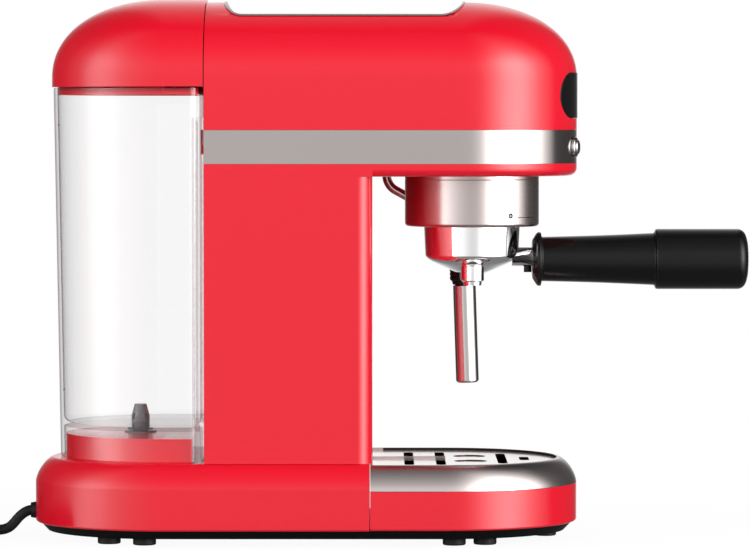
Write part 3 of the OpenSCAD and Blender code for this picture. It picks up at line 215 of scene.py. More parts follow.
def softEdges(obj, width, segments, angle):
    mod = obj.modifiers.new("edge", "BEVEL")
    mod.width = width * mm
    mod.segments = segments
    mod.limit_method = "ANGLE"
    mod.angle_limit = radians(angle)
    mod.miter_outer = "MITER_ARC"
    weighted = obj.modifiers.new("shade", "WEIGHTED_NORMAL")
    weighted.keep_sharp = True
    weighted.weight = 100


def painted(obj, finish):
    obj.data.materials.clear()
    obj.data.materials.append(mats[finish])
    for p in obj.data.polygons:
        p.use_smooth = True


def finishPiece(obj, finish, rides, stands, edge, segments=3, angle=32):
    painted(obj, finish)
    if edge:
        softEdges(obj, edge, segments, angle)
    else:
        obj.modifiers.new("split", "EDGE_SPLIT").split_angle = radians(angle)
    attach(obj, rides)
    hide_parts(stands)


def nodeMaker(tree):
    def put(kind, values=None, **settings):
        # adds a node; a value that is a socket is linked
        node = tree.nodes.new(kind)
        for key, value in settings.items():
            setattr(node, key, value)
        for key, value in (values or {}).items():
            if isinstance(value, bpy.types.NodeSocket):
                tree.links.new(value, node.inputs[key])
            else:
                node.inputs[key].default_value = value
        return node
    return put


def emptied(owner):
    owner.use_nodes = True
    owner.node_tree.nodes.clear()
    return nodeMaker(owner.node_tree)


def newMaterial(name, color, rough, metal, values):
    mat = bpy.data.materials.new(name)
    mat.use_nodes = True
    shader = mat.node_tree.nodes["Principled BSDF"]
    for key, value in {"Base Color": (*color, 1), "Roughness": rough, "Metallic": metal, **values}.items():
        shader.inputs[key].default_value = value
    return mat, shader


def addNoise(tree, shader, scale, strength, stretch, roughRange, distance):
    # fine unevenness in object coordinates
    put = nodeMaker(tree)
    coords = put("ShaderNodeTexCoord").outputs["Object"]
    mapping = put("ShaderNodeMapping", {"Scale": stretch, "Vector": coords})
    noise = put("ShaderNodeTexNoise", {"Scale": scale, "Detail": 3, "Vector": mapping.outputs[0]}).outputs["Fac"]
    if strength:
        bump = put("ShaderNodeBump", {"Strength": strength, "Distance": distance, "Height": noise})
        tree.links.new(bump.outputs[0], shader.inputs["Normal"])
    ramp = put("ShaderNodeMapRange", {"From Min": 0.3, "From Max": 0.7, "To Min": roughRange[0],
                                      "To Max": roughRange[1], "Value": noise})
    tree.links.new(ramp.outputs[0], shader.inputs["Roughness"])


def plainMaterial(name, color, rough, metal=0.0, noise=300, bump=0.1, spread=0.05, distance=0.0001,
                  stretch=(1, 1, 1), **values):
    mat, shader = newMaterial(name, color, rough, metal, values)
    addNoise(mat.node_tree, shader, noise, bump, stretch, (rough - spread, rough + spread), distance)
    return mat


def plateMaterialShadedCuts(name, top, cut):
    # the flat faces keep the steel colour; the cut edges and dimple walls get a painted shade, a dark red-brown
    mat = plainMaterial(name, top, 0.12, 0.7, noise=30, bump=0, spread=0.01)
    put = nodeMaker(mat.node_tree)
    split = put("ShaderNodeSeparateXYZ", {0: put("ShaderNodeTexCoord").outputs["Normal"]})
    share = put("ShaderNodeMapRange", {"From Min": 0.8, "From Max": 0.97, "Value": split.outputs["Z"]})
    mix = put("ShaderNodeMix", {0: share.outputs[0], 6: (*cut, 1), 7: (*top, 1)}, data_type="RGBA")
    mat.node_tree.links.new(mix.outputs[2], mat.node_tree.nodes["Principled BSDF"].inputs["Base Color"])
    return mat


def clearMaterial(name, tint, edgeTint, dimTint):
    # thin clear moulding: it lets light straight through and mirrors by Fresnel
    mat = bpy.data.materials.new(name)
    put = emptied(mat)
    # seen edge-on the wall is darker, which draws its corners
    edge = put("ShaderNodeValToRGB", {0: put("ShaderNodeLayerWeight", {"Blend": 0.5}).outputs["Facing"]})
    for element, place, color in zip(edge.color_ramp.elements, (0.8, 1), (tint, edgeTint)):
        element.position = place
        element.color = (*color, 1)
    through = put("ShaderNodeBsdfTransparent", {"Color": edge.outputs[0]})
    noise = put("ShaderNodeTexNoise", {"Scale": 25, "Vector": put("ShaderNodeTexCoord").outputs["Object"]})
    bump = put("ShaderNodeBump", {"Strength": 0.02, "Distance": 0.0002, "Height": noise.outputs["Fac"]})
    mirror = put("ShaderNodeBsdfGlossy", {"Roughness": 0.03, "Normal": bump.outputs[0]})
    # only the faces that look outwards mirror
    inward = put("ShaderNodeNewGeometry").outputs["Backfacing"]
    outward = put("ShaderNodeMath", {0: 1, 1: inward}, operation="SUBTRACT")
    fresnel = put("ShaderNodeFresnel", {"IOR": 1.6})
    share = put("ShaderNodeMath", {0: fresnel.outputs[0], 1: outward.outputs[0]}, operation="MULTIPLY")
    mix = put("ShaderNodeMixShader", {0: share.outputs[0], 1: through.outputs[0], 2: mirror.outputs[0]})
    # light that runs along inside a wall is dimmed, which draws the edges
    dim = put("ShaderNodeVolumeAbsorption", {"Color": (*dimTint, 1), "Density": 5})
    put("ShaderNodeOutputMaterial", {0: mix.outputs[0], 1: dim.outputs[0]})
    return mat


def makeMaterials():
    plain = plainMaterial
    dull, dullest = {"Specular IOR Level": 0.22}, {"Specular IOR Level": 0.08}
    brushed = {"stretch": (0.3, 0.3, 60), "noise": 90, "distance": 0.00002}
    return {
        "red_enamel": plain("redEnamel", (0.80, 0.0065, 0.024), 0.17, noise=60, bump=0.02, spread=0.02),
        "black_plastic": plain("blackPlastic", (0.006, 0.006, 0.006), 0.42, noise=900, **dull),
        "black_gloss": plain("blackGloss", (0.006, 0.006, 0.006), 0.2, noise=80, bump=0.01, spread=0.03, **dull),
        "rubber": plain("rubber", (0.01, 0.01, 0.01), 0.6, noise=700, bump=0.2, spread=0.07, **dull),
        "steel": plain("brushedSteel", (0.515, 0.452, 0.437), 0.27, 1, bump=0.01, spread=0.012, **brushed),
        "steel_gloss": plain("satinSteel", (0.62, 0.55, 0.54), 0.25, 1, bump=0.01, spread=0.012, **brushed),
        # plate: the second colour is painted shade on the walls of the slots and dimples
        "plate": plateMaterialShadedCuts("plateSteelShadedCuts", (0.9, 0.88, 0.86), (0.03, 0.012, 0.012)),
        "band": plain("bandSteel", (0.515, 0.465, 0.45), 0.16, 1, noise=40, bump=0, spread=0.01),
        "ring": plain("turnedSteel", (0.515, 0.452, 0.437), 0.27, 1, noise=40, bump=0, spread=0.01),
        # darker red for the tray's inside, painted shade under the grille
        "red_shaded_matt": plain("redShadedInside", (0.2, 0.004, 0.008), 0.6, noise=500, bump=0.05, **dull),
        "black_base": plain("blackBase", (0.004, 0.004, 0.004), 0.5, noise=900, **dullest),
        "tube": plain("steelTube", (0.55, 0.53, 0.52), 0.12, 1, noise=50, bump=0.01, spread=0.02),
        "chrome": plain("chrome", (0.88, 0.88, 0.88), 0.07, 1, noise=50, bump=0.01, spread=0.015),
        "alloy": plain("alloy", (0.55, 0.55, 0.56), 0.4, 1, noise=500, bump=0.15, spread=0.06),
        "brass": plain("brass", (0.65, 0.45, 0.16), 0.3, 1, noise=200),
        "clear": clearMaterial("clear", (0.992, 0.992, 0.992), (0.52, 0.43, 0.45), (0.5, 0.36, 0.38)),
        "grey_plastic": plain("greyPlastic", (0.16, 0.16, 0.17), 0.4, noise=600),
        "silicone": plain("silicone", (0.72, 0.71, 0.66), 0.45, **{"Subsurface Weight": 0.2}),
        "board": plain("board", (0.02, 0.11, 0.045), 0.35),
        "zinc": plain("zinc", (0.52, 0.53, 0.55), 0.4, 1, noise=120, spread=0.1)}


mats = makeMaterials()
print("materials made")

cord = {"diameter": 6, "center": (-23, 225), "middle": 33, "start": -31.8, "leave": 1724.4,
        # from, to, rise and step outwards of each change of lane in the coil
        "lanes": [(265, 305, 0, -1), (625, 665, 0, -1), (945, 985, 1, 0), (1265, 1305, 0, 1), (1625, 1665, 0, 1)]}


def eased(t):
    t = max(0, min(1, t))
    return t * t * (3 - 2 * t)


def cordPath(s):
    path = [(0, 155, 14.6), (0, 157, 14.7), (0, 158.5, 14.45), (0, 160, 14), (0, 161.5, 13.25), (0, 163, 12.2),
            (0, 164.5, 10.9), (0, 166, 9.3), (0, 167.3, 7.7), (0, 168.5, 6.4), (0, 169.7, 5.25), (0, 171, 4.35),
            (0, 172.5, 3.75), (0, 174, 3.35), (0, 176, 3.1), (0, 178, 3.02), (0, 182, 3.02),
            (0.7, 188, 3.02), (2.6, 193, 3.02), (6, 199, 3.02)]
    d, a = s["diameter"], s["start"]
    while a < s["leave"] + 0.01:
        r, z = s["middle"] + d, d / 2
        for a0, a1, rise, outward in s["lanes"]:
            t = eased((a - a0) / (a1 - a0))
            r += outward * d * t
            z += rise * d * t
        path.append((s["center"][0] + r * cos(radians(a)), s["center"][1] + r * sin(radians(a)), z + 0.02))
        left = s["leave"] - a
        a += min(8, left) if left > 0.01 else 1
    path += [(-8, 188.6, 9.02), (-3, 189.9, 9.02), (2, 191.3, 9.02), (7, 192.6, 9.02), (12, 194, 9.02)]
    return [Vector(p) * mm for p in path]


def makeCord(s):
    path = cordPath(s)
    curve = bpy.data.curves.new("mainsCord", "CURVE")
    curve.dimensions = "3D"
    curve.bevel_depth = s["diameter"] / 2 * mm * 0.985  # inside the solid's faceted tube
    curve.bevel_resolution = 5
    curve.use_fill_caps = True
    line = curve.splines.new("POLY")
    line.points.add(len(path) - 1)
    for point, place in zip(line.points, path):
        point.co = (*place, 1)
    line.use_smooth = True
    obj = placed("mainsCord", curve)
    obj.data.materials.append(mats["black_plastic"])
    return obj, path


cordObj, cordLine = makeCord(cord)
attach(cordObj, "machine")
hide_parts("power_cord", "cord_coil", "cord_tail")

plug = {"relief": 24, "ribs": 5, "ribPitch": 4.2, "body": 32, "width": 34, "height": 18, "pin": 4.8,
        "pinLength": 19, "pitch": 19, "start": (12, 194, 9.0), "turn": 15, "squareness": 0.72}


def makePlug(s):
    place = Matrix.Translation(Vector(s["start"])) @ Matrix.Rotation(radians(s["turn"]), 4, "Z")
    along = place @ toSide
    # tapered strain relief with ribs
    outline = [(0, 0), (3.2, 0)]
    for i in range(s["ribs"]):
        x = 2.2 + i * s["ribPitch"]
        r = 3.8 + i * 0.42
        outline += [(r, x), (r + 0.1, x + 2.7), (r - 0.75, x + 2.9), (r - 0.75, x + 4.0)]
    outline += [(5.5, s["relief"] + 1), (0, s["relief"] + 1)]
    relief = turned("plugRelief", outline, along, 48)
    # body: an oval that swells towards its middle
    sections, q = [], s["squareness"]
    for x, grow in ((0, 0.72), (1.2, 0.86), (4, 0.96), (9, 1.0), (22, 1.0), (30, 0.97), (31.4, 0.94),
                    (s["body"], 0.86)):
        w = s["width"] / 2 * grow
        h = s["height"] / 2 * (0.9 + 0.1 * grow) * min(1, grow + 0.03)
        sections.append([place @ Vector((s["relief"] + x, w * swelled(cos(a), q), h * swelled(sin(a), q)))
                         for a in around(48)])
    shell = loft("plugShell", sections)
    pins, sleeves = [], []
    r, end = s["pin"] / 2, s["pinLength"]
    for side in (-1, 1):
        root = along @ at(side * s["pitch"] / 2, s["relief"] + s["body"] - 1)
        pins.append(turned("plugPin", [(0, 0), (r, 0), (r, end - 0.4), (r - 0.2, end), (r - 0.9, end + 1),
                                       (0, end + 1)], root, 32))
        sleeves.append(rod("plugSleeve", r + 0.02, 0, 10, root, 32))
    parts = [joined("plugBody", [relief, shell] + sleeves), joined("plugPins", pins)]
    finishPiece(parts[0], "black_plastic", "machine", "plug", 0.25)
    finishPiece(parts[1], "chrome", "machine", "plug", 0.15)
    return parts


plugParts = makePlug(plug)
print("plug made")


def patternTree(name, ring):
    # puts one piece on every point, or on a ring of points about local Z
    tree = bpy.data.node_groups.new(name, "GeometryNodeTree")
    inputs = [("Geometry", "Geometry"), ("Piece", "Object"), ("Material", "Material"), ("Size", "Float")]
    if ring:
        inputs += [("Count", "Int"), ("Radius", "Float")]
    for label, kind in inputs:
        tree.interface.new_socket(name=label, in_out="INPUT", socket_type="NodeSocket" + kind)
    tree.interface.new_socket(name="Geometry", in_out="OUTPUT", socket_type="NodeSocketGeometry")
    put = nodeMaker(tree)
    given = put("NodeGroupInput").outputs
    piece = put("GeometryNodeObjectInfo", {"Object": given["Piece"]})
    values = {"Instance": piece.outputs["Geometry"], "Scale": given["Size"]}
    if ring:
        circle = put("GeometryNodeMeshCircle", {"Vertices": given["Count"], "Radius": given["Radius"]})
        index = put("GeometryNodeInputIndex").outputs[0]
        step = put("ShaderNodeMath", {0: index, 1: given["Count"]}, operation="DIVIDE")
        turn = put("ShaderNodeMath", {0: step.outputs[0], 1: 2 * pi}, operation="MULTIPLY")
        facing = put("ShaderNodeCombineXYZ", {"Z": turn.outputs[0]})
        values.update({"Points": circle.outputs[0], "Rotation": facing.outputs[0]})
    else:
        values["Points"] = given["Geometry"]
    spread = put("GeometryNodeInstanceOnPoints", values)
    real = put("GeometryNodeRealizeInstances", {0: spread.outputs[0]})
    paint = put("GeometryNodeSetMaterial", {"Geometry": real.outputs[0], "Material": given["Material"]})
    put("NodeGroupOutput", {0: paint.outputs[0]})
    return tree


pointTree, ringTree = patternTree("piecesOnPoints", False), patternTree("piecesOnRing", True)


def patterned(name, piece, finish, points=None, size=1.0, count=0, radius=0):
    obj = meshObject(name, points or [(0, 0, 0)], [])
    tree = pointTree if points else ringTree
    values = {"Piece": piece, "Material": mats[finish], "Size": size, "Count": count, "Radius": radius * mm}
    maker = obj.modifiers.new("pattern", "NODES")
    maker.node_group = tree
    for item in tree.interface.items_tree:
        if item.in_out == "INPUT" and item.name in values:
            maker[item.identifier] = values[item.name]
    settled(obj)
    bpy.data.objects.remove(piece)
    return obj


base = {"r": 75, "endY": 80, "splitY": -36.4, "z0": 9, "z1": 46, "bevel": 1.25, "shoulderW": 10.4,
        "shoulderH": 14, "pedestalR": 58.3, "pedestalY": 63, "lidY": 79.2, "pedestalTop": 59.5,
        "wellY": 95, "wellR": 8.15}


def makeBase(s):
    outline = lowEdge(s["r"], s["z0"], s["bevel"]) + shoulder(s["r"], s["z1"], s["shoulderW"], s["shoulderH"])
    shell = stadium("baseShell", outline + [(0, s["z1"])], s["endY"], s["splitY"])
    combined(shell, slab("pedestal", s["pedestalR"], 40, s["pedestalTop"], s["lidY"], s["pedestalY"]), "UNION")
    combined(shell, rod("well", s["wellR"], 30, 70, at(s["wellY"]), 64))
    finishPiece(shell, "red_enamel", "machine", "base_housing", 0.5)


makeBase(base)
print("base made")

tray = {"r": 75, "endY": -80, "cutY": -36.8, "z0": 9.3, "top": 31.3, "bevel": 1.25, "ledgeR": 63.6,
        "seat": 42.9, "wall": 2.2, "surroundT": 0.9, "shoulderH": 14, "rimR": 64.6, "rimZ": 45.5}


def makeTray(s):
    r, cut = s["r"], s["cutY"]
    tub = stadium("tub", lowEdge(r, s["z0"], s["bevel"]) + [(r, s["top"]), (0, s["top"])], s["endY"], cut)
    combined(tub, slab("ledge", s["ledgeR"], 25, s["seat"], s["endY"], cut - s["surroundT"] - 0.1), "UNION")
    inside, back, floor = s["ledgeR"] - s["wall"], cut - s["surroundT"] - s["wall"], s["z0"] + s["wall"]
    combined(tub, stadium("hollow", lowEdge(inside, floor, 3) + [(inside, 50), (0, 50)], s["endY"], back))
    finishPiece(tub, "red_enamel", "tray", "drip_tray", 0.35)
    # the inside gets a darker, duller red: painted shade under the grille
    tub.data.materials.append(mats["red_shaded_matt"])
    for p in tub.data.polygons:
        c = p.center / mm
        fromAxis = sqrt(c.x ** 2 + min(c.y - s["endY"], 0) ** 2)
        if fromAxis < inside + 0.3 and c.z > floor - 0.2 and c.y < back + 0.3:
            p.material_index = 1


def makeSurround(s):
    r, z = s["r"], s["rimZ"]
    outside = [(0, s["top"]), (r, s["top"])] + shoulder(r, z, r - s["rimR"], s["shoulderH"], 20) + [(0, z)]
    solid = stadium("surround", outside, s["endY"], s["cutY"])
    combined(solid, slab("middle", s["rimR"] - s["surroundT"], 20, 60, s["endY"], s["cutY"] - s["surroundT"]))
    finishPiece(solid, "steel_gloss", "tray", "tray_surround", 0.3)


def makeSeal(s):
    # dark seal on the inner wall of the rim, above the grille
    r, z, low = s["rimR"], s["rimZ"], s["seat"] + 0.2
    ring = stadium("rimSeal", [(r - 1.2, low), (r - 0.85, low), (r - 0.85, z - 0.05), (r - 1.05, z - 0.1),
                               (r - 1.2, z - 0.3)], s["endY"], s["cutY"] - 7.4)
    finishPiece(ring, "rubber", "tray", "tray_surround", 0.05, 1)


makeTray(tray)
makeSurround(tray)
makeSeal(tray)

grille = {"r": 63.3, "endY": -80, "cutY": -38.1, "z0": 42.9, "z1": 44.1, "slotW": 5.5, "pitch": 18,
          "midY": -94, "dimple": 18.7, "dimpleFloor": 0.6,
          "slots": [(46, 17.1), (46, 35.1), (36, -18), (12, -30.96)]}  # half length, distance from midY


def makeGrille(s):
    plate = slab("grille", s["r"], s["z0"], s["z1"], s["endY"], s["cutY"])
    for half, dy in s["slots"]:
        combined(plate, extruded("slotCut", slotOutline(half, s["slotW"] / 2), s["z0"] - 1, s["z1"] + 1,
                                 at(s["midY"] + dy)))
    r, floor = s["dimple"] / 2, s["z0"] + s["dimpleFloor"]
    for side in (-1, 1):
        combined(plate, turned("dimpleCut", [(0, floor), (r - 0.2, floor), (r, s["z1"] + 0.02), (r, s["z1"] + 1),
                                             (0, s["z1"] + 1)], at(s["midY"], 0, side * s["pitch"]), 64))
    # the walls of the slots and dimples take the plate's painted shade
    finishPiece(plate, "plate", "grille", "drip_grille", 0)


makeGrille(grille)

below = {"footD": 13, "footH": 4.2, "ring": 57, "endY": 80, "rearTurns": (10, 32), "frontTurns": (4, 22),
         "plate": 4.8, "screwD": 6.4, "screwL": 12, "screws": [(50, 40), (40, 112)]}


def makeFeet(s):
    r, h = s["footD"] / 2, s["footH"]
    stem, top = r / 2 - 0.1, h + s["plate"] * 0.6
    outline = [(0, 0.35), (r - 2.4, 0.35), (r - 2.0, 0), (r - 1.0, 0)] + arc(r - 0.9, 0.9, 0.9, -80, 0, 5)
    outline += [(r, h - 0.5), (r - 0.3, h), (stem, h), (stem, top), (0, top)]
    foot = turned("foot", outline, steps=40)
    places = [(0, 0, 0), (0, -s["endY"] - s["ring"], 0)]
    for way, turns in ((1, s["rearTurns"]), (-1, s["frontTurns"])):
        for a in turns:
            x, y = s["ring"] * cos(radians(a)), s["endY"] + s["ring"] * sin(radians(a))
            places += [(x, way * y, 0), (-x, way * y, 0)]
    finishPiece(patterned("rubberFeet", foot, "rubber", places), "rubber", "machine", "rubber_feet", 0)


def makeScrews(s):
    r, h = s["screwD"] / 2, s["footH"]
    end = h + s["plate"] + s["screwL"]
    screw = turned("screw", [(0, h + 0.2), (r - 0.5, h + 0.2), (r, h + 0.7), (r, h + 2.4), (1.5, h + 2.4),
                             (1.5, end), (0, end)], steps=40)
    for x, y in ((2.2, 0.4), (0.4, 2.2)):
        combined(screw, block("cross", -x, x, -y, y, h - 1, h + 1.3))
    places = [(side * x, y, 0) for x, y in s["screws"] for side in (-1, 1)]
    finishPiece(patterned("housingScrews", screw, "steel_gloss", places), "steel_gloss", "machine",
                "housing_screws", 0)


makeFeet(below)
makeScrews(below)
print("tray, grille and feet made")

buttons = {"angle": 15.5, "z": 222.9, "headY": -89, "r": 66, "hole": 5.3, "bezel": 11.6, "bezelProud": 1.7,
           "cap": 8.4, "capProud": 1.4}


def buttonPlaces(s):
    return [at(s["headY"], s["z"]) @ Matrix.Rotation(radians(side * s["angle"]), 4, "Z") @ toFront
            for side in (-1, 1)]


def drilled(obj, s):
    for place in buttonPlaces(s):
        combined(obj, rod("buttonHole", s["hole"], s["r"] - 12, s["r"] + 3, place, 48))


body = {"r": 66, "headY": -89, "columnY": -38, "seamY": 56, "baseTop": 46, "panZ": 206.6, "bandZ": 213.7,
        "coverZ": 232.7, "panEdge": 4.5, "corner": 9, "bandT": 1.2, "panelHalf": 63.4, "panelT": 2.8}


def makeBody(s):
    r, c, front, rear = s["r"], s["corner"], s["columnY"], s["seamY"]
    outline = [(r, rear), (-r, rear)]
    outline += arc(c - r, front + c, c, 180, 270, 12) + arc(r - c, front + c, c, 270, 360, 12)
    column = extruded("bodyHousing", outline, s["baseTop"] + 0.05, s["panZ"])
    combined(column, block("back", -r, r, front, rear, s["panZ"], s["bandZ"]), "UNION")
    pan = lowEdge(r, s["panZ"], s["panEdge"], 10) + [(r, s["bandZ"]), (0, s["bandZ"])]
    combined(column, stadium("pan", pan, s["headY"], front), "UNION")
    combined(column, slab("rim", r - s["bandT"] - 0.1, s["bandZ"] - 1, s["coverZ"], s["headY"], rear), "UNION")
    drilled(column, buttons)
    # seat of the separate rear panel
    combined(column, block("panelSeat", -s["panelHalf"], s["panelHalf"], rear - s["panelT"], rear + 1,
                           s["baseTop"] - 1, s["coverZ"] + 1))
    finishPiece(column, "red_enamel", "machine", "body_housing", 0.35)


def makeBand(s):
    r, t, low, high = s["r"], s["bandT"], s["bandZ"] + 0.05, s["coverZ"] - 0.05
    ring = stadium("steelBand", [(r - t, low), (r, low), (r, high), (r - t, high)], s["headY"], s["seamY"])
    drilled(ring, buttons)
    finishPiece(ring, "band", "machine", "steel_band", 0.12, 2)


makeBody(body)
makeBand(body)
print("body and band made")

head = {"r": 66, "headY": -89, "seamY": 56, "coverZ": 232.7, "domeZ": 262, "domeH": 43.5, "power": 2.15,
        "scoopZ": 298, "scoopRear": 35, "scoopFront": -76, "rampRear": 10.6, "rampFront": 15.9,
        "plateT": 1, "plateProud": 0.5, "displayW": 73, "displayH": 25.8, "displayZ": 252.3,
        "displayProud": 0.3, "displayT": 2.2}


def headForm(name, s, grow, z0):
    r = s["r"] + grow
    outline = [(0, z0), (r, z0)] + squaredArc(0, s["domeZ"], r, s["domeH"] + grow, s["power"], 48)
    return stadium(name, outline, s["headY"], s["seamY"])


def scoopTool(name, s, down):
    # outline in (y, z), extruded along x
    rear, front, z = s["rampRear"], s["rampFront"], s["scoopZ"]
    points = arc(s["scoopRear"], z + rear, rear + down, -90, 0, 24)
    points += [(s["scoopRear"] + rear + down, z + front + rear), (s["scoopFront"] - front - down, z + front + rear)]
    points += arc(s["scoopFront"], z + front, front + down, 180, 270, 24)
    place = Matrix(((0, 0, 1, 0), (1, 0, 0, 0), (0, 1, 0, 0), (0, 0, 0, 1)))
    return extruded(name, points, -90, 90, place)


def displayTool(name, s, gap):
    outline = slotOutline((s["displayW"] + 2 * gap) / 2, (s["displayH"] + 2 * gap) / 2, 24)
    return extruded(name, outline, 20, 90, at(s["headY"], s["displayZ"]) @ toFront)


def makeHead(s):
    shell = headForm("headCover", s, 0, s["coverZ"] + 0.05)
    combined(shell, scoopTool("scoop", s, s["plateT"]))
    recess = displayTool("recess", s, 0.1)
    combined(recess, rod("core", s["r"] + s["displayProud"] - s["displayT"], 200, 300, at(s["headY"]), 144))
    combined(shell, recess)
    finishPiece(shell, "red_enamel", "machine", "head_cover", 0.5)


def makeCupPlate(s):
    plate = scoopTool("cupPlate", s, s["plateT"])
    combined(plate, scoopTool("upper", s, 0))
    combined(plate, headForm("skin", s, s["plateProud"], 240), "INTERSECT")
    finishPiece(plate, "steel", "machine", "cup_plate", 0.2, 2)


def makeDisplay(s):
    r, t = s["r"] + s["displayProud"], s["displayT"]
    panel = displayTool("display", s, 0)
    combined(panel, turned("outside", [(r - t, 200), (r, 200), (r, 300), (r - t, 300)], at(s["headY"]), 144),
             "INTERSECT")
    finishPiece(panel, "black_gloss", "machine", "display_panel", 0.3)


makeHead(head)
makeCupPlate(head)
makeDisplay(head)
print("head made")

tank = {"lidY": 79.2, "y0": 56.5, "z0": 46.5, "z1": 256.5, "r0": 61.4, "r1": 65.1, "wall": 2.2,
        "floor": 65.8, "channelW": 32, "channelD": 6, "channelTop": 237.7, "hookZ": 218.7, "bar": 1.5,
        "corner": 9, "valveY": 95, "valveD": 9, "levels": (83.9, 235.4)}


def tankRadius(s, z, t):
    return s["r0"] - t + (s["r1"] - s["r0"]) * (z - s["z0"]) / (s["z1"] - s["z0"])


def tankRing(s, t, z, y0, inset=0):
    r = tankRadius(s, z, t) - inset
    c = max(s["corner"] - t, 1) - inset * 0.5
    y = y0 + inset
    ring = arc(r - c, y + c, c, -90, 0, 8) + arc(0, s["lidY"], r, 0, 180, 96) + arc(c - r, y + c, c, 180, 270, 8)
    return [(px, py, z) for px, py in ring]


def tankForm(name, s, t, z0, z1, y0, soft=0):
    rings = []
    for i in range(6 if soft else 0):
        a = pi / 2 * i / 6
        rings.append(tankRing(s, t, z0 + soft * (1 - cos(a)), y0, soft * (1 - sin(a))))
    return loft(name, rings + [tankRing(s, t, z0 + soft, y0), tankRing(s, t, z1, y0)])


def makeTank(s):
    w, half, y, floor, bar = s["wall"], s["channelW"] / 2, s["y0"], s["floor"], s["hookZ"] + 4.8
    shell = tankForm("tankShell", s, 0, s["z0"], s["z1"], y)
    water = tankForm("water", s, w, floor, s["z1"] + 5, y + w, 4)
    combined(water, block("keep", -half - w, half + w, y - 1, y + s["channelD"] + w, floor - 1,
                          s["channelTop"] + w))
    combined(shell, water)
    combined(shell, tankForm("under", s, w, s["z0"] - 1, floor - w, y + w))
    channel = block("channel", -half, half, y - 1, y + s["channelD"], s["z0"] - 1, s["channelTop"])
    combined(channel, block("bar", -half - 1, half + 1, y - 2, y + s["bar"], bar, bar + 4))
    combined(shell, channel)
    combined(shell, rod("valveHole", s["valveD"] / 2 + 0.1, 60, 70, at(s["valveY"]), 48))
    finishPiece(shell, "clear", "tank", "water_tank", 0.45)


def makeTicks(s):
    # two moulded marks for the water's lowest and highest level, on the round end
    tick = extruded("tick", slotOutline(4, 0.4, 6), -0.25, 0.25, toFront)
    places = [(0, s["lidY"] + tankRadius(s, z, s["wall"]) - 0.2, z) for z in s["levels"]]
    ticks = patterned("levelTicks", tick, "grey_plastic", places)
    finishPiece(ticks, "grey_plastic", "tank", "water_tank", 0)


makeTank(tank)
makeTicks(tank)

lid = {"lidY": 79.2, "y0": 56.5, "z0": 257, "side": 262, "domeH": 45, "r": 66, "power": 2.15, "plugZ": 252.5,
       "rimZ": 256.5, "gap": 2.5, "wall": 2.6}


def makeLid(s):
    r, y, z, w, p = s["r"], s["y0"], s["side"], s["wall"], s["plugZ"]
    outline = [(0, s["z0"]), (r, s["z0"])] + squaredArc(0, z, r, s["domeH"], s["power"], 48)
    outer = stadium("lidShell", outline, s["lidY"], y)
    q0, q1 = tankRadius(tank, p, s["gap"]), tankRadius(tank, s["rimZ"], s["gap"])
    combined(outer, stadium("lidPlug", [(0, p), (q0, p), (q1, 260), (0, 260)], s["lidY"], y + s["gap"]), "UNION")
    inner = [(0, p - 0.5), (q0 - w, p - 0.5), (q1 - w, z)]
    inner += squaredArc(0, z, q1 - w, s["domeH"] - w, s["power"], 32)[1:]
    combined(outer, stadium("lidInside", inner, s["lidY"], y + 5.1, 48))
    finishPiece(outer, "red_enamel", "lid", "tank_lid", 0.9)


makeLid(lid)
print("tank and lid made")

group = {"y": -95, "r": 38.35, "z0": 177.6, "z1": 206.6, "skin": 1.4, "casting": 36.85, "lip": 178.6}


def makeGroupRing(s):
    r, z0, z1, lip = s["r"], s["z0"], s["z1"], s["lip"] - 0.1
    outline = [(r - s["skin"], z1), (r, z1), (r, z1 - 1.9), (r - 0.12, z1 - 2.0), (r - 0.12, z1 - 2.3),
               (r, z1 - 2.4)] + arc(r - 2, z0 + 2, 2, 0, -90, 10)
    outline += [(s["casting"] - 3, z0), (s["casting"] - 3, lip), (r - s["skin"], lip)]
    finishPiece(turned("groupRing", outline, at(s["y"]), 144), "ring", "machine", "group_housing", 0.12, 2)


makeGroupRing(group)

lockMark = {"turn": 33.6, "z": 184, "r": 1.55, "hasp": 0.9, "haspX": 1.5, "haspZ": 2.6, "stroke": 0.18,
            "keyhole": 0.35, "line": (41.5, 65), "lineZ": 183}


def wrapped(name, strips, g):
    # thin raised strips on the ring: each is a list of (angle, low, high)
    points, faces = [], []
    for strip in strips:
        first = len(points)
        for a, low, high in strip:
            for r in (g["r"] - 0.05, g["r"] + 0.04):
                x, y = -r * cos(radians(a)), g["y"] - r * sin(radians(a))
                points += [(x, y, low), (x, y, high)]
        last = first + 4 * (len(strip) - 1)
        for q in range(first, last, 4):
            faces += [(q + a, q + b, q + b + 4, q + a + 4) for a, b in ((0, 1), (1, 3), (3, 2), (2, 0))]
        faces += [(first, first + 2, first + 3, first + 1), (last, last + 1, last + 3, last + 2)]
    return meshObject(name, points, faces)


def makeLockMark(s, g):
    # a plain padlock sign with the line that the handle is turned to
    turn, z, r, w = 180 / pi / g["r"], s["z"], s["r"], s["stroke"]
    first, last = s["line"]
    strips = [[(first + (last - first) * i / 12, s["lineZ"] - 0.2, s["lineZ"] + 0.2) for i in range(13)]]
    across = [-r * cos(pi * i / 12) * 0.999 for i in range(13)]
    for way in (-1, 1):
        strip = []
        for x in across:
            ends = (way * sqrt(max(r * r - x * x, 0.0004)), way * (s["keyhole"] if abs(x) < s["keyhole"] else 0.02))
            strip.append((s["turn"] + x * turn, z + min(ends), z + max(ends)))
        strips.append(strip)
    for i in range(10):
        strip = []
        for a in (pi * (i + 1) / 10, pi * i / 10):
            x, h = s["haspX"] + s["hasp"] * cos(a), s["haspZ"] + s["hasp"] * sin(a)
            strip.append((s["turn"] + x * turn, z + h - w, z + h + w))
        strips.append(strip)
    strips.append([(s["turn"] + x * turn, z + 1.3, z + s["haspZ"]) for x in (0.45, 0.75)])
    finishPiece(wrapped("lockMark", strips, g), "black_plastic", "machine", "group_housing", 0)


makeLockMark(lockMark, group)

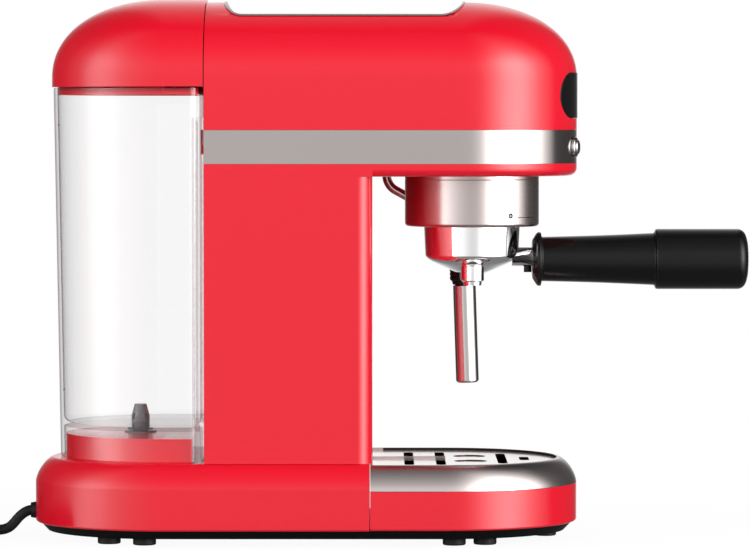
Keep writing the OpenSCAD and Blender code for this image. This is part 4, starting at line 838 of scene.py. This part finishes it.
bowl = {"y": -95, "r": 28, "low": 26.7, "top": 188.5, "edge": 160.7, "boss": 150.9, "bossR": 8.6, "inside": 24.3,
        "wall": 2.4, "lugR": 34, "lugZ": 182.1, "lugH": 4.8, "lugAngle": 50, "bore": 5,
        # dish below the wall: how far in and down from its edge
        "dish": [(16.4, 9.0), (14.7, 8.3), (12.4, 7.3), (9.8, 6.15), (7.2, 5.05), (4.9, 3.95), (3.1, 2.95),
                 (1.8, 2.05), (0.95, 1.25), (0.4, 0.55), (0.1, -0.05), (0, -0.6)]}

handle = {"y": -129.5, "z": 158.7, "length": 124, "flange": 31, "grip": 25.4, "gripEnd": 29.8, "knob": 34.5,
          "knobLength": 53.5, "knobEdge": 5, "neck": 11, "neckWidth": 24, "neckRise": 1.4, "screw": 4.4}


def makeNeck(s, h):
    # it widens sideways into the bowl
    n, w = h["neck"] / 2, h["neckWidth"] / 2
    y0, y1 = s["y"] - s["low"] + 4, h["y"]
    sections = []
    for i in range(9):
        t = i / 8
        half = n + (w - n) * (1 - t) ** 1.6
        sections.append([(half * (1 - 0.3 * sin(a) * (1 - t)) * swelled(cos(a), 0.8), y0 + (y1 - y0) * t,
                          h["z"] + h["neckRise"] + n * swelled(sin(a), 0.9)) for a in around(48)])
    neck = loft("neck", sections)
    combined(neck, rod("room", s["low"] - s["wall"] / 2, s["edge"] + 1, 190, at(s["y"]), 64))
    return neck


def makeBowl(s, h):
    hole, inside, edge = s["bore"] / 2, s["inside"], s["edge"]
    outline = [(hole, s["boss"]), (s["bossR"] - 0.4, s["boss"])]
    outline += [(s["low"] - inward, edge - down) for inward, down in s["dish"]]
    outline += [(s["r"], s["top"]), (inside, s["top"]), (inside, edge + 2.5), (inside - 1, edge + 1.5),
                (3, edge - 4), (hole, edge - 4.4)]
    cup = turned("bowl", outline, at(s["y"]), 128)
    for a in (0, 180):
        ends = (a - s["lugAngle"] / 2, a + s["lugAngle"] / 2, 14)
        lug = arc(0, 0, s["lugR"], *ends) + arc(0, 0, s["r"] - 0.6, *ends)[::-1]
        combined(cup, extruded("lug", lug, s["lugZ"], s["lugZ"] + s["lugH"], at(s["y"])), "UNION")
    combined(cup, makeNeck(s, h), "UNION")
    combined(cup, rod("screwHole", 2.3, -12, -3, at(h["y"] + h["screw"] / 2 + 0.3, h["z"]), 32))
    finishPiece(cup, "chrome", "portafilter", "portafilter_bowl", 0.3)


def makeHandle(s):
    length = s["length"]
    end = length - s["knobLength"]
    f, g, ge, k = s["flange"] / 2, s["grip"] / 2, s["gripEnd"] / 2, s["knob"] / 2
    outline = [(0, 0.02), (f - 5.2, 0.02), (f - 4.2, 0.3), (f - 1.4, 2.0), (f - 0.5, 2.7), (f, 3.5), (f, 4.5),
               (f - 0.45, 5.1), (g + 0.35, 5.4), (g, 5.9)]
    for i in range(1, 15):
        t = i / 14
        outline.append((g + (ge - g) * t - 0.25 * sin(pi * t), 5.9 + (end - 1.4 - 5.9) * t))
    outline += [(ge + 0.15, end - 0.7), (k - 1.6, end - 0.3), (k - 0.6, end), (k - 0.12, end + 0.5), (k, end + 1.2),
                (k, length - 6.5)] + arc(k - s["knobEdge"], length - 6.5, s["knobEdge"], 4, 66, 10)
    outline += [(k - 4.2, length - 1.4), (k - 6.5, length - 0.8), (0, length - 0.05)]
    grip = turned("handle", outline, at(s["y"], s["z"]) @ toFront, 128)
    finishPiece(grip, "black_gloss", "portafilter", "handle_grip", 0.3, 3, 24)


makeBowl(bowl, handle)
makeHandle(handle)

spout = {"y": -95, "z": 146.4, "pitch": 38, "d": 13, "h": 10.5, "bore": 5, "bossR": 6.7, "top": 150.9,
         "barR": 3.5, "barRise": 2.6,
         "dish": [(8.6, 150.9), (12.6, 152.1), (22.7, 157.8), (26, 160), (36, 164)]}  # seat of the bowl above it


def makeSpout(s):
    b, z, half, top = s["bossR"], s["z"], s["pitch"] / 2, s["top"] - 0.02
    hub = turned("spout", [(0, z), (b - 0.6, z), (b, z + 0.6), (b, top), (0, top)], at(s["y"]), 64)
    combined(hub, rod("bar", s["barR"], -half, half, at(s["y"], z + s["barRise"]) @ toSide, 48), "UNION")
    r, h, hole = s["d"] / 2, s["h"], s["bore"] / 2 - 0.5
    for side in (-1, 1):
        nozzle = turned("nozzle", [(hole, -2.1), (r - 1.6, -2.1), (r - 1.2, 0), (r, 0.7), (r, h - 2.2),
                                   (r - 0.5, h - 1.1), (r - 1.9, h - 0.1), (0, h), (0, 2), (hole, 2)],
                        at(s["y"], z, side * half), 64)
        combined(hub, nozzle, "UNION")
    combined(hub, turned("dish", [(0, s["top"])] + s["dish"] + [(0, 164)], at(s["y"]), 96))
    finishPiece(hub, "chrome", "portafilter", "twin_spout", 0.25)


makeSpout(spout)
print("group and portafilter made")

wand = {"x": 48, "y": -46.3, "panZ": 206.6, "d": 5.2, "offset": 45.4, "run": 34, "bend": 10, "lean": 1.9,
        "sleeveZ": 142.0, "sleeveLen": 57, "sleeveD": 13.3, "sleeveWall": 1, "airSlot": 22.5, "collarD": 16.6,
        "collarH": 10, "swivelD": 10, "gland": 1}


def heading(a):
    return Vector((sin(radians(a)), -cos(radians(a))))


def wandLine(s):
    # in the wand's plane: forward distance from the row's middle, and height
    bend, lean = s["bend"], s["lean"]
    low = Vector((-s["y"] + s["offset"], s["sleeveZ"])) - s["run"] * heading(lean)
    start = Vector((-s["y"], s["panZ"] - s["gland"] + 0.5))
    slant = 60
    for _ in range(8):
        k0 = bend * tan(radians(slant / 2))
        slant = atan2(low.x - start.x, start.y - k0 - low.y) * 180 / pi
    k1 = bend * tan(radians((slant - lean) / 2))
    center = start + Vector((bend, 0))
    points = [center + bend * Vector((-cos(radians(slant * i / 14)), -sin(radians(slant * i / 14))))
              for i in range(15)]
    lowCenter = low - k1 * heading(slant) - bend * Vector((cos(radians(slant)), sin(radians(slant))))
    for i in range(15):
        a = radians(slant + (lean - slant) * i / 14)
        points.append(lowCenter + bend * Vector((cos(a), sin(a))))
    points.append(low + (s["run"] + s["sleeveLen"] - 6) * heading(lean))
    return [Vector((s["x"], -p.x, p.y)) for p in points]


def makeWand(s):
    steel = tube("steamTube", wandLine(s), s["d"] / 2, 32)
    pin = rod("swivelPin", s["swivelD"] / 2, -s["gland"], 3.1, at(s["y"], s["panZ"], s["x"]), 48)
    finishPiece(joined("steamTube", [steel, pin]), "tube", "steam_wand", "wand_tube", 0.15, 2, 50)
    mouth = at(s["y"] - s["offset"], s["sleeveZ"], s["x"]) @ Matrix.Rotation(radians(-s["lean"]), 4, "X")
    c, d, bore, n, h = s["collarD"] / 2, s["sleeveD"] / 2, s["d"] / 2, s["sleeveLen"], s["collarH"]
    core, inner = d - s["sleeveWall"] - 0.3, d - s["sleeveWall"]
    outline = [(bore, 14 - n), (core, 14 - n), (core, 0.4), (d, 0.4), (d + 0.6, 2.6), (c - 0.5, 2.9), (c, 3.6),
               (c, 5.2), (c - 0.45, 5.6), (c, 6.0), (c, 7.4), (c - 0.45, 7.8), (c, 8.2), (c, h)]
    outline += arc(c - 1.3, h, 1.3, 10, 80, 5) + [(bore + 1.2, h + 1.6), (bore, h + 2)]
    finishPiece(turned("wandGrip", outline, mouth, 72), "rubber", "steam_wand", "wand_collar", 0.2, 2)
    sleeve = turned("frother", [(inner, 0), (d - 0.4, 0), (d, -0.4), (d, -n + 1.4), (d - 0.5, -n + 0.5),
                                (d - 1.2, -n), (2.5, -n), (2.5, -n + 2), (inner, -n + 3)], mouth, 72)
    combined(sleeve, extruded("airSlot", arc(0, 2, 0.8, 0, 180, 8) + arc(0, -2, 0.8, 180, 360, 8), 0, d + 2,
                              mouth @ at(0, -n + s["airSlot"]) @ toFront))
    finishPiece(sleeve, "tube", "frother", "frother_sleeve", 0.15, 2)


makeWand(wand)

knob = {"x": 66.8, "y": -46.3, "z": 247.35, "d": 27, "h": 17, "flutes": 12, "bore": 3}


def makeKnob(s):
    r, h, bore = s["d"] / 2, s["h"], s["bore"]
    place = at(s["y"], s["z"], s["x"]) @ toSide
    outline = [(bore, 0), (r - 1, 0), (r, 1), (r - 0.7, h - 4), (r - 1.2, h - 2.2)]
    outline += arc(r - 3.2, h - 2, 2, 5, 85, 8) + [(0, h - 0.4), (0, 5.2), (bore, 5.2)]
    dial = turned("steamKnob", outline, place, 96)
    flute = turned("flute", [(0, 3), (0.9, 3.2), (1.6, 4.2), (1.6, 20), (0, 20)], steps=20)
    flutes = patterned("flutes", flute, "black_plastic", count=s["flutes"], radius=r + 0.6)
    flutes.data.transform(Matrix.Translation(place.translation * mm) @ place.to_3x3().to_4x4())
    combined(dial, flutes)
    finishPiece(dial, "black_plastic", "steam_control", "steam_knob", 0.3, 2)


makeKnob(knob)
print("wand and knob made")


def makeButtons(s):
    bezels = []
    r, c, top = s["bezel"] / 2, s["cap"] / 2, s["bezelProud"]
    out = top + s["capProud"]
    for name, place in zip(("coffee", "steam"), buttonPlaces(s)):
        lift = place @ at(0, s["r"])
        bezels.append(turned("bezel", [(c + 0.25, -4.5), (5.2, -4.5), (5.2, 0.05), (r, 0.05), (r, top * 0.45),
                                       (r - 0.15, top * 0.8), (r - 0.5, top), (c + 0.55, top), (c + 0.25, top - 0.3)],
                             lift, 64))
        cap = turned(name + "Cap", [(0, -4), (c, -4), (c, out - 0.9), (c - 0.25, out - 0.4), (c - 0.9, out - 0.1),
                                    (c - 1.8, out), (c - 2.4, out - 0.25), (0, out - 0.4)], lift, 64)
        finishPiece(cap, "tube", name + "_cap", name + "_button", 0.08, 2, 40)
    finishPiece(joined("buttonRims", bezels), "tube", "machine", "button_bezels", 0.1, 2, 40)


makeButtons(buttons)
print("buttons made")

# the frame's own solids that are shown as they are
kept = {"black_base": ["bottom_plate"], "red_enamel": ["rear_panel"], "board": ["control_board"],
        "black_plastic": ["cord_gland", "button_switches", "handle_screw", "wand_socket", "pump"],
        "alloy": ["group_head", "thermoblock"], "rubber": ["group_gasket"], "zinc": ["pump_bracket"],
        "chrome": ["shower_screen", "shower_screw"], "steel": ["filter_basket", "valve_spring", "steam_pipe"],
        "brass": ["steam_valve", "valve_spindle"], "grey_plastic": ["valve_body", "valve_plunger", "tank_inlet"],
        "silicone": ["suction_hose", "pressure_hose"]}
for finish, names in kept.items():
    for node in names:
        painted(bpy.data.objects[node], finish)
        bpy.data.objects[node].modifiers.new("split", "EDGE_SPLIT").split_angle = radians(32)
print("frame pieces dressed")

# soft to far light all rays but mirrored ones; the lists hold (degrees, strength)
studio = {"soft": 0.63, "fill": 0.42, "fillFall": 0.68, "rear": 0.22, "far": 0.8, "floor": 0.22, "peak": 9,
          "round": [(-180, 1.0), (-173, 0.9), (-164, 0.2), (-150, 0.06), (-140, 0.04), (-120, 0.07), (-108, 0.3),
                    (-98, 0.6), (-90, 1.3), (-82, 2.8), (-70, 4.0), (-58, 3.6), (-44, 2.1), (-32, 1.5), (-22, 1.15),
                    (-10, 0.9), (0, 0.8), (10, 0.86), (18, 1.2), (26, 2.5), (34, 4.4), (44, 7.2), (54, 8.6),
                    (62, 8.0), (72, 5.2), (82, 2.5), (92, 1.2), (99, 0.65), (105, 0.09), (140, 0.07), (160, 0.1),
                    (173, 0.9)],
          "pale": [(-90, 1), (0, 1), (10, 1.15), (24, 1.1), (40, 0.7), (58, 0.4), (70, 0.26), (84, 0.14), (90, 0.1)],
          "box": [(-90, 0.5), (-10, 0.55), (-2, 1.05), (20, 1.08), (28, 0.9), (36, 0.58), (46, 0.3), (58, 0.12),
                  (74, 0.03), (90, 0)]}


def makeWorld(s):
    # a wide soft box at each end of the left side, pale in between, dark flags beside a white backdrop
    scene.world = bpy.data.worlds.new("studio")
    put = emptied(scene.world)

    def calc(operation, a, b=0):
        return put("ShaderNodeMath", {0: a, 1: b}, operation=operation).outputs[0]

    def ramp(value, stops, whole, top):
        node = put("ShaderNodeValToRGB", {0: value})
        while len(node.color_ramp.elements) < len(stops):
            node.color_ramp.elements.new(0.5)
        for element, (a, v) in zip(node.color_ramp.elements, stops):
            element.position = (a + whole / 2) / whole
            element.color = (v / top, v / top, v / top, 1)
        return calc("MULTIPLY", node.outputs[0], top)

    x, y, z = put("ShaderNodeSeparateXYZ", {0: put("ShaderNodeTexCoord").outputs["Generated"]}).outputs
    # angle round the object: 0 to its left side, positive towards its front
    angle = calc("ARCTAN2", calc("MULTIPLY", y, -1), calc("MULTIPLY", x, -1))
    turn = calc("ADD", calc("DIVIDE", angle, 2 * pi), 0.5)
    rise = calc("ADD", calc("DIVIDE", calc("ARCSINE", z), pi), 0.5)
    side = ramp(turn, s["round"], 360, s["peak"])
    pale, box = ramp(rise, s["pale"], 180, 2), ramp(rise, s["box"], 180, 2)
    field = calc("ADD", calc("MULTIPLY", calc("MINIMUM", side, 1), pale),
                 calc("MULTIPLY", calc("MAXIMUM", calc("SUBTRACT", side, 1), 0), box))
    low = put("ShaderNodeMapRange", {"From Min": -0.12, "From Max": -0.75, "Value": z},
              interpolation_type="SMOOTHSTEP")
    blend = put("ShaderNodeMix", {0: low.outputs[0], 2: field, 3: s["floor"]})
    rays = put("ShaderNodeLightPath").outputs
    mirrored = rays["Is Glossy Ray"]
    level = calc("ADD", calc("MULTIPLY", mirrored, 1 - s["soft"]), s["soft"])
    spread = calc("ADD", calc("SUBTRACT", s["fill"], calc("MULTIPLY", z, s["fillFall"])),
                  calc("ADD", calc("MULTIPLY", calc("MAXIMUM", y, 0), s["rear"]),
                       calc("MULTIPLY", calc("MAXIMUM", x, 0), s["far"])))
    fill = calc("MULTIPLY", calc("SUBTRACT", 1, mirrored), spread)
    total = calc("MAXIMUM", calc("ADD", calc("MULTIPLY", blend.outputs[0], level), fill), 0.01)
    lit = put("ShaderNodeBackground", {"Color": (1, 1, 1, 1), "Strength": total})
    white = put("ShaderNodeBackground", {"Color": (1, 1, 1, 1)})
    seen = calc("MAXIMUM", rays["Is Camera Ray"], rays["Is Transmission Ray"])
    both = put("ShaderNodeMixShader", {0: seen, 1: lit.outputs[0], 2: white.outputs[0]})
    put("ShaderNodeOutputWorld", {0: both.outputs[0]})


makeWorld(studio)

floorSizes = {"half": 3, "drop": 0.0002, "grey": 0.5, "glow": 1.1, "share": 0.86}


def makeFloor(s):
    mesh = bpy.data.meshes.new("floor")
    bm = bmesh.new()
    bmesh.ops.create_grid(bm, x_segments=2, y_segments=2, size=s["half"])
    bm.to_mesh(mesh)
    bm.free()
    floor = placed("floor", mesh)
    floor.location.z = -s["drop"]
    mat = bpy.data.materials.new("paleFloor")
    put = emptied(mat)
    diffuse = put("ShaderNodeBsdfDiffuse", {"Color": (s["grey"], s["grey"], s["grey"], 1)})
    glow = put("ShaderNodeEmission", {"Color": (1, 1, 1, 1), "Strength": s["glow"]})
    rays = put("ShaderNodeLightPath").outputs
    seen = put("ShaderNodeMath", {0: rays["Is Camera Ray"], 1: rays["Is Transmission Ray"]}, operation="MAXIMUM")
    share = put("ShaderNodeMath", {0: seen.outputs[0], 1: s["share"]}, operation="MULTIPLY")
    mix = put("ShaderNodeMixShader", {0: share.outputs[0], 1: diffuse.outputs[0], 2: glow.outputs[0]})
    put("ShaderNodeOutputMaterial", {0: mix.outputs[0]})
    mesh.materials.append(mat)
    floor.visible_glossy = False


makeFloor(floorSizes)
scene.view_settings.view_transform = "Standard"
print("light and floor set")
